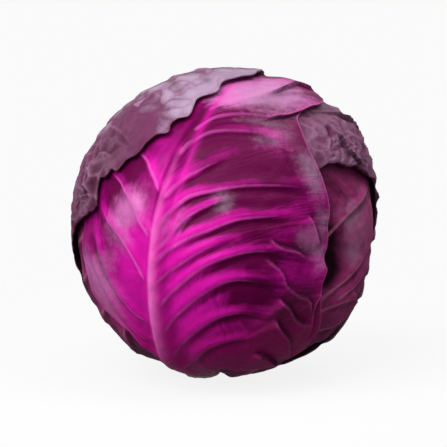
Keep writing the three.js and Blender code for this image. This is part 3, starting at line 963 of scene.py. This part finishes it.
class Socket:
    """An output socket that can be used in sums."""

    def __init__(self, nodes, output):
        self.nodes = nodes
        self.output = output

    def __add__(self, other):
        return self.nodes.sum("ADD", self, other)

    __radd__ = __add__

    def __sub__(self, other):
        return self.nodes.sum("SUBTRACT", self, other)

    def __rsub__(self, other):
        return self.nodes.sum("SUBTRACT", other, self)

    def __mul__(self, other):
        return self.nodes.sum("MULTIPLY", self, other)

    __rmul__ = __mul__


class Nodes:
    """Adds nodes to a tree."""

    def __init__(self, tree):
        self.tree = tree

    def node(self, kind, settings=None, inputs=None, output=0):
        """Adds a node: its settings first, then its sockets' values or links. Returns one output."""
        made = self.tree.nodes.new(kind)
        for key, value in (settings or {}).items():
            setattr(made, key, value)
        for key, value in (inputs or {}).items():
            if isinstance(value, Socket):
                self.tree.links.new(value.output, made.inputs[key])
            else:
                made.inputs[key].default_value = value
        return Socket(self, made.outputs[output]) if len(made.outputs) else None

    def sum(self, operation, first, second):
        return self.node("ShaderNodeMath", {"operation": operation}, {0: first, 1: second})

    def split(self, place, axis):
        """One coordinate of a position."""
        return self.node("ShaderNodeSeparateXYZ", {}, {0: place}, output=axis)


class Shader(Nodes):
    """A material's or a world's nodes."""

    def __init__(self, tree):
        super().__init__(tree)
        self.tree.nodes.clear()

    @classmethod
    def material(cls, name):
        made = bpy.data.materials.new(name)
        made.use_nodes = True
        shader = cls(made.node_tree)
        shader.made = made
        return shader

    def mask(self, name):
        """A number stored on the mesh."""
        return self.node("ShaderNodeAttribute", {"attribute_name": name}, output="Fac")

    def on_leaf(self, axis):
        """Millimetres across the leaf (axis 0) or along it (axis 1)."""
        place = self.node("ShaderNodeAttribute", {"attribute_name": "on_leaf"}, output="Vector")
        return self.split(place, axis)

    def object_place(self):
        return self.node("ShaderNodeTexCoord", output="Object")

    def mix(self, factor, low, high):
        """Mix of two colours."""
        return self.node("ShaderNodeMix", {"data_type": "RGBA"}, {0: factor, 6: low, 7: high}, output=2)

    def between(self, value, low, high):
        """0 at low and below, 1 at high and above, smooth between them."""
        inputs = {0: value, 1: low, 2: high, 3: 0.0, 4: 1.0}
        return self.node("ShaderNodeMapRange", {"interpolation_type": "SMOOTHSTEP"}, inputs)

    def noise(self, place, scale, detail=3.0, roughness=0.55, distortion=0.0):
        inputs = {"Vector": place, "Scale": scale, "Detail": detail, "Roughness": roughness,
                  "Distortion": distortion}
        return self.node("ShaderNodeTexNoise", {}, inputs, output="Fac")

    def uneven(self, place, scale, detail, roughness):
        """Noise about 0."""
        return self.noise(place, scale, detail, roughness) - 0.5

    def stretched(self, place, scale):
        """A position with a pattern's own scale along each axis."""
        return self.node("ShaderNodeMapping", {}, {"Vector": place, "Scale": scale})

    def bump(self, height, strength, distance):
        inputs = {"Height": height, "Strength": strength, "Distance": distance}
        return self.node("ShaderNodeBump", {}, inputs)

    def finish(self, **sockets):
        """The surface shader, with names such as Base_Color for Base Color."""
        inputs = {key.replace("_", " "): value for key, value in sockets.items()}
        surface = self.node("ShaderNodeBsdfPrincipled", {}, inputs)
        self.node("ShaderNodeOutputMaterial", {}, {"Surface": surface})
        return self.made


class NodeTree(Nodes):
    """A Geometry Nodes tree under construction, with named inputs."""

    def __init__(self, name, inputs):
        super().__init__(bpy.data.node_groups.new(name, "GeometryNodeTree"))
        face = self.tree.interface
        face.new_socket("Geometry", in_out="INPUT", socket_type="NodeSocketGeometry")
        face.new_socket("Geometry", in_out="OUTPUT", socket_type="NodeSocketGeometry")
        self.identifiers = {}
        for label, kind in inputs.items():
            socket = face.new_socket(label, in_out="INPUT", socket_type="NodeSocket" + kind)
            self.identifiers[label] = socket.identifier
        self.start = self.tree.nodes.new("NodeGroupInput")

    def given(self, label):
        return Socket(self, self.start.outputs[label])

    def end(self, geometry, material):
        """Instances become real, the material is set, and the result leaves the tree."""
        real = self.node("GeometryNodeRealizeInstances", {}, {"Geometry": geometry})
        done = self.node("GeometryNodeSetMaterial", {}, {"Geometry": real, "Material": material})
        self.node("NodeGroupOutput", {}, {"Geometry": done})

    def grown(self, piece, values):
        """Runs the tree on a piece and leaves the result on it as a plain mesh."""
        modifier = piece.modifiers.new(self.tree.name, "NODES")
        modifier.node_group = self.tree
        for label, value in values.items():
            modifier[self.identifiers[label]] = value
        graph = bpy.context.evaluated_depsgraph_get()
        result = bpy.data.meshes.new_from_object(piece.evaluated_get(graph), depsgraph=graph)
        piece.modifiers.clear()
        piece.data = result
        return piece


# ---------------------------------------------------------------- leaf materials

def colour(values):
    return (*values, 1.0)


# Colours beside those in the settings, and places in millimetres up the leaf.
SHADOW = (0.012, 0.0012, 0.006, 1)
MAGENTA_TONES = {
    # The lit rib and shaded rib colours are painted light and painted shade on the midrib's two flanks.
    "lit rib": (1.0, 0.20, 0.66, 1),
    "shaded rib": (0.60, 0.010, 0.30, 1),
    "upper rib": (0.42, 0.004, 0.20, 1),
    "foot": (0.62, 0.008, 0.24, 1),
    "lip": (0.62, 0.07, 0.36, 1),
    "margin": (0.54, 0.09, 0.32, 1),
}
GREY_TONES = {
    "bare blade": (0.110, 0.020, 0.066, 1),
    "net": (0.20, 0.055, 0.125, 1),
    "hollow": (0.10, 0.022, 0.06, 1),
    "vein": (0.38, 0.15, 0.26, 1),
    "deep": (0.06, 0.012, 0.03, 1),
    "crease": (0.36, 0.19, 0.31, 1),
    "lip": (0.36, 0.15, 0.25, 1),
    "margin": (0.10, 0.02, 0.05, 1),
}
PURPLE_TONES = {
    "dark blade": (0.085, 0.005, 0.038, 1),
    "light blade": (0.34, 0.035, 0.16, 1),
    # Nearly black, for the painted shadow at the deep spots.
    "deep": (0.008, 0.0006, 0.004, 1),
    "vein": (0.56, 0.17, 0.31, 1),
    "lip": (0.40, 0.14, 0.25, 1),
    "margin": (0.36, 0.11, 0.21, 1),
}
FOOT_FADES = (40, 95)
TOP_CALMS = (148, 185)


def leaf_surface(shader, base, roughness, height, coat):
    """What every leaf's surface shares: satin wax, a little light through the skin, fine bump."""
    return shader.finish(
        Base_Color=base,
        Roughness=roughness,
        Normal=shader.bump(height, 0.6, 0.0006),
        Specular_IOR_Level=0.06,
        Subsurface_Weight=0.05,
        Subsurface_Radius=(0.6, 0.15, 0.35),
        Subsurface_Scale=0.003,
        Coat_Weight=coat,
        Coat_Roughness=0.38,
    )


def streaks(shader, across, along):
    """Noise about 0, drawn out along the side veins."""
    place = {0: shader.on_leaf(0) * along, 1: shader.mask("flow") * across, 2: 0.0}
    drawn = shader.noise(shader.node("ShaderNodeCombineXYZ", {}, place), 1.0, 4, 0.6, 0.3)
    return (drawn - 0.5) * shader.mask("grain")


def fine_height(shader, where):
    """Fine relief shared by all leaves: pores, grain and short streaks along the veins."""
    pores = shader.noise(where, 1000, 3, 0.7)
    grain = shader.noise(where, 260, 4, 0.6)
    return pores * 0.3 + grain * 0.45 + streaks(shader, 9.0, 0.09) * 0.9


def marked(shader, base, tones, margin_amount):
    """A blade's colour with its folds' lit edges, their shadows and its margin."""
    base = shader.mix(shader.mask("lip") * 0.55, base, tones["lip"])
    base = shader.mix(shader.mask("shade") * 0.9, base, SHADOW)
    margin = 1 - shader.between(shader.mask("from_margin"), 0.25, 1.1)
    return shader.mix(margin * margin_amount, base, tones["margin"])


def magenta_rib(s, base, colours):
    """The midrib over a blade's colour: painted light on its left flank, painted shade on its right, darker
    towards the tip.
    """
    base = s.mix(s.mask("furrow") * 0.5, base, colour(colours.magenta))
    flank = s.between(s.mask("rib_side"), -0.9, 0.9)
    rib = s.mix(flank, MAGENTA_TONES["lit rib"], MAGENTA_TONES["shaded rib"])
    rib = s.mix(s.between(s.mask("rib_share"), 0.6, 0.85), rib, MAGENTA_TONES["upper rib"])
    return s.mix(s.between(s.mask("rib"), 0.2, 0.8) * 0.92, base, rib)


def magenta_leaf(colours):
    """Smooth bright leaf: magenta above its veins, deep purple below them, with patches of wax."""
    s = Shader.material("magenta_leaf")
    where = s.object_place()
    broad = s.uneven(where, 30, 3, 0.5)
    mottle = s.uneven(where, 170, 4, 0.65)
    speckle = s.uneven(where, 620, 3, 0.7)
    strokes = streaks(s, 2.6, 0.035)
    fine_strokes = streaks(s, 7.0, 0.06)
    top = s.between(s.on_leaf(1), *TOP_CALMS)
    foot = 1 - s.between(s.on_leaf(1), *FOOT_FADES)

    # Lighter on the swelling above each vein and at the glow spots, darker in the hollow below each vein:
    # partly the blade's own colour, partly painted light and shade.
    relief = s.mask("swelling") * 0.45 - s.mask("hollow") * 0.6 + strokes * 1.25
    light = relief * (1 - top * 0.45) + s.mask("glow") * 0.75 - s.mask("deep") * 0.55
    light = light + fine_strokes * 0.7 + broad * 0.4 + mottle * 0.4 + 0.32
    # Wine spots: darker maroon, partly painted shade on the front leaf's lower and right parts.
    wine = s.between(s.mask("wine") + broad * 0.5 + strokes * 0.5, 0.2, 0.9)
    veins = s.between(s.mask("vein") + mottle * 0.3, 0.25, 0.9)
    lilac = s.between(s.mask("lilac") + fine_strokes * 0.8 + mottle * 0.6, 0.25, 1.0)
    grey = s.between(s.mask("grey") + s.mask("hollow") * 0.15 + mottle * 0.7 + speckle * 0.4, 0.3, 1.3)

    base = s.mix(s.between(light, 0.0, 1.0), colour(colours.deep), colour(colours.magenta))
    base = s.mix(wine, base, colour(colours.wine))
    base = s.mix(veins * (0.8 - top * 0.4), base, colour(colours.vein))
    base = s.mix(lilac * 0.85, base, colour(colours.lilac))
    base = s.mix(grey * 0.6, base, colour(colours.bloom))
    base = magenta_rib(s, base, colours)
    base = s.mix(foot * 0.6, base, MAGENTA_TONES["foot"])
    base = marked(s, base, MAGENTA_TONES, 0.6)
    roughness = 0.36 + grey * 0.25 + lilac * 0.08 + mottle * 0.15
    coat = s.between(lilac * 0.6 + grey * 0.5 + s.mask("rib") * 0.5 + mottle * 0.6, 0.0, 1.2)
    return leaf_surface(s, base, roughness, fine_height(s, where), coat * 0.5)


def grey_leaf(colours):
    """Outermost leaves: pale plates of wax in a net of reddish veins."""
    s = Shader.material("grey_leaf")
    where = s.object_place()
    warp = s.uneven(where, 60, 4, 0.6)
    mottle = s.uneven(where, 180, 4, 0.65)
    speckle = s.uneven(where, 700, 3, 0.7)

    show = s.between(s.noise(where, 13, 2, 0.5), 0.35, 0.65) * 0.75 + 0.25
    middle = s.mask("plate_middle")
    plate = ((s.mask("plate") - 0.5) * 0.75 + (middle - 0.6) * 0.35) * show + 0.64
    wax = plate + s.mask("lilac") * 0.5 - s.mask("wine") * 0.7 - s.mask("deep") * 0.8
    wax = s.between(wax + warp * 0.8 + mottle * 0.5 + speckle * 0.25, 0.05, 1.15)
    veins = s.between(s.mask("vein") * 0.8 + s.mask("rib"), 0.15, 1.0)

    base = s.mix(wax, GREY_TONES["bare blade"], colour(colours.bloom))
    base = s.mix((1 - middle) * show * 0.22, base, GREY_TONES["net"])
    base = s.mix(s.mask("hollow") * 0.45, base, GREY_TONES["hollow"])
    base = s.mix(veins * 0.5, base, GREY_TONES["vein"])
    base = s.mix(s.between(s.mask("deep"), 0.1, 0.9) * 0.7, base, GREY_TONES["deep"])
    base = s.mix(s.mask("crease") * 0.5, base, GREY_TONES["crease"])
    base = marked(s, base, GREY_TONES, 0.4)
    roughness = 0.40 + wax * 0.16 + mottle * 0.12
    return leaf_surface(s, base, roughness, fine_height(s, where), wax * 0.45 + 0.05)


def purple_leaf(colours):
    """Leaves between the others: wine purple with pale pink veins."""
    s = Shader.material("purple_leaf")
    where = s.object_place()
    broad = s.uneven(where, 34, 3, 0.5)
    mottle = s.uneven(where, 160, 4, 0.6)
    strokes = streaks(s, 2.6, 0.035)

    # Lighter on the swelling above each vein and at the glow spots, darker in the hollow below each vein:
    # partly the blade's own colour, partly painted light and shade.
    light = s.mask("swelling") * 0.3 + s.mask("glow") * 0.6 - s.mask("hollow") * 0.4
    light = light + strokes * 1.5 + broad * 0.8 + 0.5
    wax = s.between(s.mask("grey") + broad * 1.2 + mottle * 0.7, 0.35, 1.1)
    veins = s.between(s.mask("vein") + s.mask("rib") * 0.8, 0.2, 1.0)

    base = s.mix(s.between(light, 0.0, 1.0), PURPLE_TONES["dark blade"], PURPLE_TONES["light blade"])
    base = s.mix(wax * 0.4, base, colour(colours.bloom))
    # Painted shadow: the deep spots turn the blade nearly black.
    base = s.mix(s.between(s.mask("deep"), 0.1, 1.2) * 0.97, base, PURPLE_TONES["deep"])
    base = s.mix(veins * 0.8, base, PURPLE_TONES["vein"])
    base = marked(s, base, PURPLE_TONES, 0.4)
    # No coat in the painted shadow of the deep spots.
    coat = (wax * 0.4 + 0.05) * (1 - s.between(s.mask("deep"), 0.1, 0.9))
    roughness = 0.38 + wax * 0.18 + mottle * 0.12
    return leaf_surface(s, base, roughness, fine_height(s, where), coat)


# ---------------------------------------------------------------- heart and stem

HEART = {"rings": 46, "sides": 96, "overlap": 1.2, "folds": 5.0, "slope": 14.0}
HEART_TONES = {"dark": (0.16, 0.012, 0.075, 1), "light": (0.36, 0.03, 0.18, 1)}
STEM_TONES = {
    "pale rind": (0.52, 0.30, 0.34, 1),
    "browned flesh": (0.33, 0.21, 0.12, 1),
    "dark fibre": (0.42, 0.30, 0.20, 1),
    "light fibre": (0.70, 0.60, 0.46, 1),
}
STEM_SHARE = 0.76  # of half the CAD stem's width
STEM_SIDES = 96
BUNDLE_RING = 0.6
BUNDLE_STRAY = 0.0011
BUNDLE_PROUD = 0.0007


def ball_faces(rings, sides):
    """Faces of a ball: one point at each pole, rings of points between them."""
    ring, side = np.meshgrid(np.arange(rings - 1), np.arange(sides), indexing="ij")
    corner = (1 + ring * sides + side).ravel()
    beside = (1 + ring * sides + (side + 1) % sides).ravel()
    bands = np.stack([corner, beside, beside + sides, corner + sides], axis=1)
    around = np.arange(sides)
    following = (around + 1) % sides
    last = rings * sides + 1
    low = np.stack([np.zeros(sides, int), following + 1, around + 1], axis=1)
    high = np.stack([np.full(sides, last), last - sides + around, last - sides + following], axis=1)
    return [bands, low, high]


def ball_directions(rings, sides):
    directions = [STEM_POLE]
    for ring in range(1, rings + 1):
        height = -90 + 180 * ring / (rings + 1)
        directions += [compass(360 * side / sides, height) for side in range(sides)]
    directions.append(-STEM_POLE)
    return np.array(directions)


def heart_tree(material):
    """Tightly folded leaves: each turn of a spiral steps out by one overlap and fades back."""
    tree = NodeTree("folded_leaves", {"Overlap": "Float", "Folds": "Float", "Slope": "Float"})
    place = tree.node("GeometryNodeInputPosition")
    turn = tree.sum("ARCTAN2", tree.split(place, 0), tree.split(place, 1))
    spiral = turn * (1 / math.tau) * tree.given("Folds") + tree.split(place, 2) * tree.given("Slope")
    step = tree.sum("FRACT", spiral, 0.0)
    out = step * step * tree.given("Overlap")
    normal = tree.node("GeometryNodeInputNormal")
    push = tree.node("ShaderNodeVectorMath", {"operation": "SCALE"}, {0: normal, "Scale": out})
    moved = tree.node("GeometryNodeSetPosition", {}, {"Geometry": tree.given("Geometry"), "Offset": push})
    tree.end(moved, material)
    return tree


def bundle_tree(material):
    """Fibre bundles in a ring round the cut stem, standing slightly proud of the dried flesh."""
    tree = NodeTree("fibre_bundles", {
        "Count": "Int", "Ring": "Float", "Radius": "Float", "Proud": "Float", "Centre": "Vector",
        "Seed": "Int"})
    seed = tree.given("Seed")
    ring = tree.node(
        "GeometryNodeCurvePrimitiveCircle", {}, {"Resolution": 64, "Radius": tree.given("Ring")})
    points = tree.node("GeometryNodeCurveToPoints", {}, {"Curve": ring, "Count": tree.given("Count")})
    low, high = (-BUNDLE_STRAY, -BUNDLE_STRAY, 0.0), (BUNDLE_STRAY, BUNDLE_STRAY, 0.0)
    stray = tree.node(
        "FunctionNodeRandomValue", {"data_type": "FLOAT_VECTOR"}, {0: low, 1: high, "Seed": seed})
    away = tree.node("ShaderNodeVectorMath", {"operation": "ADD"}, {0: stray, 1: tree.given("Centre")})
    points = tree.node("GeometryNodeSetPosition", {}, {"Geometry": points, "Offset": away})
    bundle = tree.node(
        "GeometryNodeMeshCylinder", {},
        {"Vertices": 8, "Radius": tree.given("Radius"), "Depth": tree.given("Proud")})
    size = tree.node(
        "FunctionNodeRandomValue", {"data_type": "FLOAT"}, {2: 0.7, 3: 1.2, "Seed": seed}, output=1)
    flat = tree.node("ShaderNodeCombineXYZ", {}, {0: size, 1: size, 2: 1.0})
    bundles = tree.node(
        "GeometryNodeInstanceOnPoints", {}, {"Points": points, "Instance": bundle, "Scale": flat})
    tree.end(bundles, material)
    return tree


def heart_leaf(colours):
    """Tight inner leaves: paler, with fine upright veins."""
    s = Shader.material("heart_leaf")
    where = s.object_place()
    upright = s.noise(s.stretched(where, (110, 110, 18)), 1.0, 4, 0.6, 0.4)
    broad = s.noise(where, 28, 3, 0.5)
    base = s.mix(s.between(broad, 0.3, 0.7), HEART_TONES["dark"], HEART_TONES["light"])
    base = s.mix(s.between(upright, 0.55, 0.75) * 0.5, base, colour(colours.lilac))
    return leaf_surface(s, base, 0.38 + broad * 0.1, upright + s.noise(where, 400, 3), 0.08)


def cut_stem(colours):
    """Stem: pale cut face browned in patches, purple rind with faint ridges above it."""
    s = Shader.material("cut_stem")
    where = s.object_place()
    grain = s.noise(s.stretched(where, (420, 420, 60)), 1.0, 4, 0.6)
    mottle = s.noise(where, 190, 4, 0.6)
    rind = s.mix(s.between(grain, 0.35, 0.7), colour(colours.skin), STEM_TONES["pale rind"])
    browned = s.between(mottle, 0.4, 0.75) * 0.5
    face = s.mix(browned, colour(colours.flesh), STEM_TONES["browned flesh"])
    base = s.mix(s.between(s.split(where, 2), 0.0004, 0.0022), face, rind)
    roughness = 0.62 + (mottle - 0.5) * 0.2
    bump = s.bump(grain, 0.5, 0.0005)
    return s.finish(Base_Color=base, Roughness=roughness, Normal=bump, Specular_IOR_Level=0.3)


def fibre():
    """Dried ends of the fibre bundles."""
    s = Shader.material("fibre_bundle")
    mottle = s.noise(s.object_place(), 900, 3, 0.6)
    base = s.mix(mottle, STEM_TONES["dark fibre"], STEM_TONES["light fibre"])
    return s.finish(Base_Color=base, Roughness=0.75, Normal=s.bump(mottle, 0.4, 0.0003))


# ---------------------------------------------------------------- operators

class CabbageBuild:
    """What the pieces of one head share, worked out once."""

    shared = None

    @classmethod
    def drape(cls, scene):
        if cls.shared is None:
            leaves = [Leaf(design, layer) for layer, design in enumerate(LEAVES)]
            cls.shared = Drape(Globe(scene.cabbage_head), leaves, scene.cabbage_leaves.pitch / MM)
        return cls.shared


class CABBAGE_OT_outer_leaves(bpy.types.Operator):
    """Lay the seven outer leaves over the head"""

    bl_idname = "cabbage.outer_leaves"
    bl_label = "Outer leaves"

    def execute(self, context):
        scene = context.scene
        settings = scene.cabbage_leaves
        drape = CabbageBuild.drape(scene)
        noise = SmoothNoise(scene.cabbage_head.seed + 1)
        finishes = {
            "magenta_leaf": magenta_leaf(settings),
            "grey_leaf": grey_leaf(settings),
            "purple_leaf": purple_leaf(settings),
        }
        for leaf in drape.leaves:
            slot = leaf.design["slot"]
            piece = leaf_mesh(drape, leaf, settings, noise, finishes[slot])
            hand_over(piece, leaf.design["name"], slot)
        return {"FINISHED"}


class CABBAGE_OT_heart(bpy.types.Operator):
    """Fill the head with its tightly folded inner leaves"""

    bl_idname = "cabbage.heart"
    bl_label = "Heart"

    def execute(self, context):
        scene = context.scene
        drape = CabbageBuild.drape(scene)
        rings, sides, overlap = HEART["rings"], HEART["sides"], HEART["overlap"]
        directions = ball_directions(rings, sides)
        radius, _ = drape.surface(len(drape.leaves), directions)
        points = directions * (radius - scene.cabbage_leaves.thickness / MM - overlap)[:, None]
        material = heart_leaf(scene.cabbage_leaves)
        placed = drape.globe.in_frame(points)
        piece = mesh_object("heart_folds", placed, ball_faces(rings, sides), {}, material)
        values = {"Overlap": overlap * MM, "Folds": HEART["folds"], "Slope": HEART["slope"]}
        heart_tree(material).grown(piece, values)
        hand_over(piece, "heart", "heart_leaves")
        return {"FINISHED"}


class CABBAGE_OT_stem(bpy.types.Operator):
    """Cut the stem off below the leaves, with its ring of fibre bundles"""

    bl_idname = "cabbage.stem"
    bl_label = "Stem"

    def execute(self, context):
        scene = context.scene
        settings = scene.cabbage_stem
        low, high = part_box("stem")
        centre = (low + high) / 2
        radius = STEM_SHARE * (high - low)[0] / 2
        flesh = self.add_flesh(settings, low, high, radius)
        hand_over(flesh, "stem", "stem_flesh")
        bundles = self.add_bundles(settings, centre, radius, scene.cabbage_head.seed)
        hand_over(bundles, "stem", "stem_flesh")
        return {"FINISHED"}

    def add_flesh(self, settings, low, high, radius):
        """A turned stub: cut face, bevelled rim, slight waist, domed top inside the heart."""
        cut, rise = 0.3, (high - low)[2] / MM
        profile = [
            (0.4, cut), (0.78, cut), (0.86, 1.2), (1.0, 5), (0.92, 10), (0.86, 18), (0.8, rise - 5),
            (0.5, rise - 2),
        ]
        points = [(0, 0, cut)]
        for share, height in profile:
            for side in range(STEM_SIDES):
                turn = math.tau * side / STEM_SIDES
                reach = share * radius / MM * (1 + 0.035 * math.sin(5 * turn + height / 6))
                points.append((reach * math.sin(turn), -reach * math.cos(turn), height))
        points.append((0, 0, rise - 1))
        points = np.array(points, float)
        points += SmoothNoise(5)(points + 90, 6)[:, None] * (0.25, 0.25, 0) * (points[:, 2:3] > 1)
        centre = (low + high) / 2
        placed = points * MM + (centre[0], centre[1], low[2])
        faces = ball_faces(len(profile), STEM_SIDES)
        return mesh_object("stem_stub", placed, faces, {}, cut_stem(settings))

    def add_bundles(self, settings, centre, radius, seed):
        """The tree makes the bundles, so the piece starts as one face that they take the place of."""
        material = fibre()
        piece = mesh_object("stem_bundles", np.zeros((3, 3)), [np.array([[0, 1, 2]])], {}, material)
        return bundle_tree(material).grown(piece, {
            "Count": settings.bundles, "Ring": radius * BUNDLE_RING, "Radius": settings.bundle_radius,
            "Proud": BUNDLE_PROUD, "Centre": (centre[0], centre[1], BUNDLE_PROUD / 2), "Seed": seed})


# Azimuth and height in degrees, then metres from the head.
KEY_PLACE = (-38, 40, 1.2)
TOP_PLACE = (50, 62, 1.2)
TOP_SHARE = 0.35  # of the key light's power
FLOOR_RINGS = [0.12, 0.3, 0.8, 2.5, 8.0, 30.0]
FLOOR_SIDES = 64
FLOOR_SHADES = (0.10, 0.28)  # metres from the middle over which the floor stops taking shadow
DIM_BELOW = 0.32  # of the surroundings' light that comes from under the horizon


class CABBAGE_OT_stage(bpy.types.Operator):
    """Set up the floor, the lights and the camera"""

    bl_idname = "cabbage.stage"
    bl_label = "Studio"

    def execute(self, context):
        scene = context.scene
        settings = scene.cabbage_stage
        low, high = CAD_BOX
        middle = (low + high) / 2
        self.add_floor(settings)
        self.light_world(scene, settings)
        self.add_area("key_light", middle, KEY_PLACE, 1.0, settings.key_power)
        self.add_area("top_light", middle, TOP_PLACE, 0.7, settings.key_power * TOP_SHARE)
        self.add_camera(scene, settings, middle)
        scene.view_settings.view_transform = "Standard"
        return {"FINISHED"}

    def add_floor(self, settings):
        """A wide disc of rings of points round its middle."""
        turns = [math.tau * side / FLOOR_SIDES for side in range(FLOOR_SIDES)]
        points = [(0, 0, 0)]
        for reach in FLOOR_RINGS:
            points += [(reach * math.cos(turn), reach * math.sin(turn), 0) for turn in turns]
        around = np.arange(FLOOR_SIDES)
        following = (around + 1) % FLOOR_SIDES
        faces = [np.stack([np.zeros(FLOOR_SIDES, int), around + 1, following + 1], axis=1)]
        for ring in range(len(FLOOR_RINGS) - 1):
            inner = 1 + ring * FLOOR_SIDES
            outer = inner + FLOOR_SIDES
            corners = [inner + around, outer + around, outer + following, inner + following]
            faces.append(np.stack(corners, axis=1))
        material = self.floor_material(settings)
        floor = mesh_object("studio_floor", np.array(points, float), faces, {}, material)
        floor.visible_diffuse = False
        floor.visible_glossy = False

    def floor_material(self, settings):
        """Shades like a pale floor near the head and glows like its surroundings further out."""
        s = Shader.material("studio_floor")
        where = s.object_place()
        reach = s.node("ShaderNodeVectorMath", {"operation": "LENGTH"}, {0: where}, output="Value")
        glow = s.node("ShaderNodeEmission", {}, {"Color": colour((settings.white,) * 3), "Strength": 1.0})
        matt = s.node("ShaderNodeBsdfDiffuse", {}, {"Color": colour(settings.floor_colour)})
        factor = s.between(reach, *FLOOR_SHADES) * (1 - settings.floor_glow) + settings.floor_glow
        mixed = s.node("ShaderNodeMixShader", {}, {0: factor, 1: matt, 2: glow})
        s.node("ShaderNodeOutputMaterial", {}, {"Surface": mixed})
        return s.made

    def light_world(self, scene, settings):
        """White surroundings as the camera sees them, dimmer ones as light, least from below."""
        world = bpy.data.worlds.new("white_surroundings")
        world.use_nodes = True
        s = Shader(world.node_tree)
        seen = s.node("ShaderNodeLightPath", output="Is Camera Ray")
        height = s.split(s.node("ShaderNodeTexCoord", output="Generated"), 2)
        lit = (s.between(height, -0.35, 0.35) * (1 - DIM_BELOW) + DIM_BELOW) * settings.world_strength
        strength = seen * (settings.white - lit) + lit
        light = s.node("ShaderNodeBackground", {}, {"Color": (1, 1, 1, 1), "Strength": strength})
        s.node("ShaderNodeOutputWorld", {}, {"Surface": light})
        scene.world = world

    def add_area(self, name, target, place, size, power):
        """A square soft light that faces the head."""
        azimuth, height, distance = place
        data = bpy.data.lights.new(name, "AREA")
        data.size = size
        data.energy = power
        light = bpy.data.objects.new(name, data)
        light.location = target + Vector(compass(azimuth, height)) * distance
        light.rotation_euler = (target - light.location).to_track_quat("-Z", "Y").to_euler()
        bpy.context.scene.collection.objects.link(light)

    def add_camera(self, scene, settings, middle):
        data = bpy.data.cameras.new("camera")
        data.lens = settings.lens
        data.sensor_width = 36
        camera = bpy.data.objects.new("camera", data)
        back = Vector(compass(math.degrees(settings.azimuth), math.degrees(settings.elevation)))
        camera.location = middle + back * settings.distance
        camera.rotation_euler = (-back).to_track_quat("-Z", "Y").to_euler()
        scene.collection.objects.link(camera)
        scene.camera = camera


class CABBAGE_PT_sidebar(bpy.types.Panel):
    """Settings and steps of the red cabbage head"""

    bl_idname = "CABBAGE_PT_sidebar"
    bl_label = "Red cabbage head"
    bl_space_type = "VIEW_3D"
    bl_region_type = "UI"
    bl_category = "Cabbage"

    def draw(self, context):
        for name, group in SETTINGS.items():
            box = self.layout.box()
            for field in group.__annotations__:
                box.prop(getattr(context.scene, name), field)
        for operator in OPERATORS:
            self.layout.operator(operator.bl_idname)


OPERATORS = [CABBAGE_OT_heart, CABBAGE_OT_stem, CABBAGE_OT_outer_leaves, CABBAGE_OT_stage]
SETTINGS = {
    "cabbage_head": CabbageHeadSettings,
    "cabbage_leaves": CabbageLeafSettings,
    "cabbage_stem": CabbageStemSettings,
    "cabbage_stage": CabbageStageSettings,
}


def register():
    for group in SETTINGS.values():
        bpy.utils.register_class(group)
    for name, group in SETTINGS.items():
        setattr(bpy.types.Scene, name, PointerProperty(type=group))
    for kind in (*OPERATORS, CABBAGE_PT_sidebar):
        bpy.utils.register_class(kind)


def unregister():
    for kind in (CABBAGE_PT_sidebar, *reversed(OPERATORS)):
        bpy.utils.unregister_class(kind)
    for name, group in SETTINGS.items():
        delattr(bpy.types.Scene, name)
        bpy.utils.unregister_class(group)


def main():
    register()
    bpy.ops.cabbage.heart()
    bpy.ops.cabbage.stem()
    bpy.ops.cabbage.outer_leaves()
    bpy.ops.cabbage.stage()


if __name__ == "__main__":
    main()
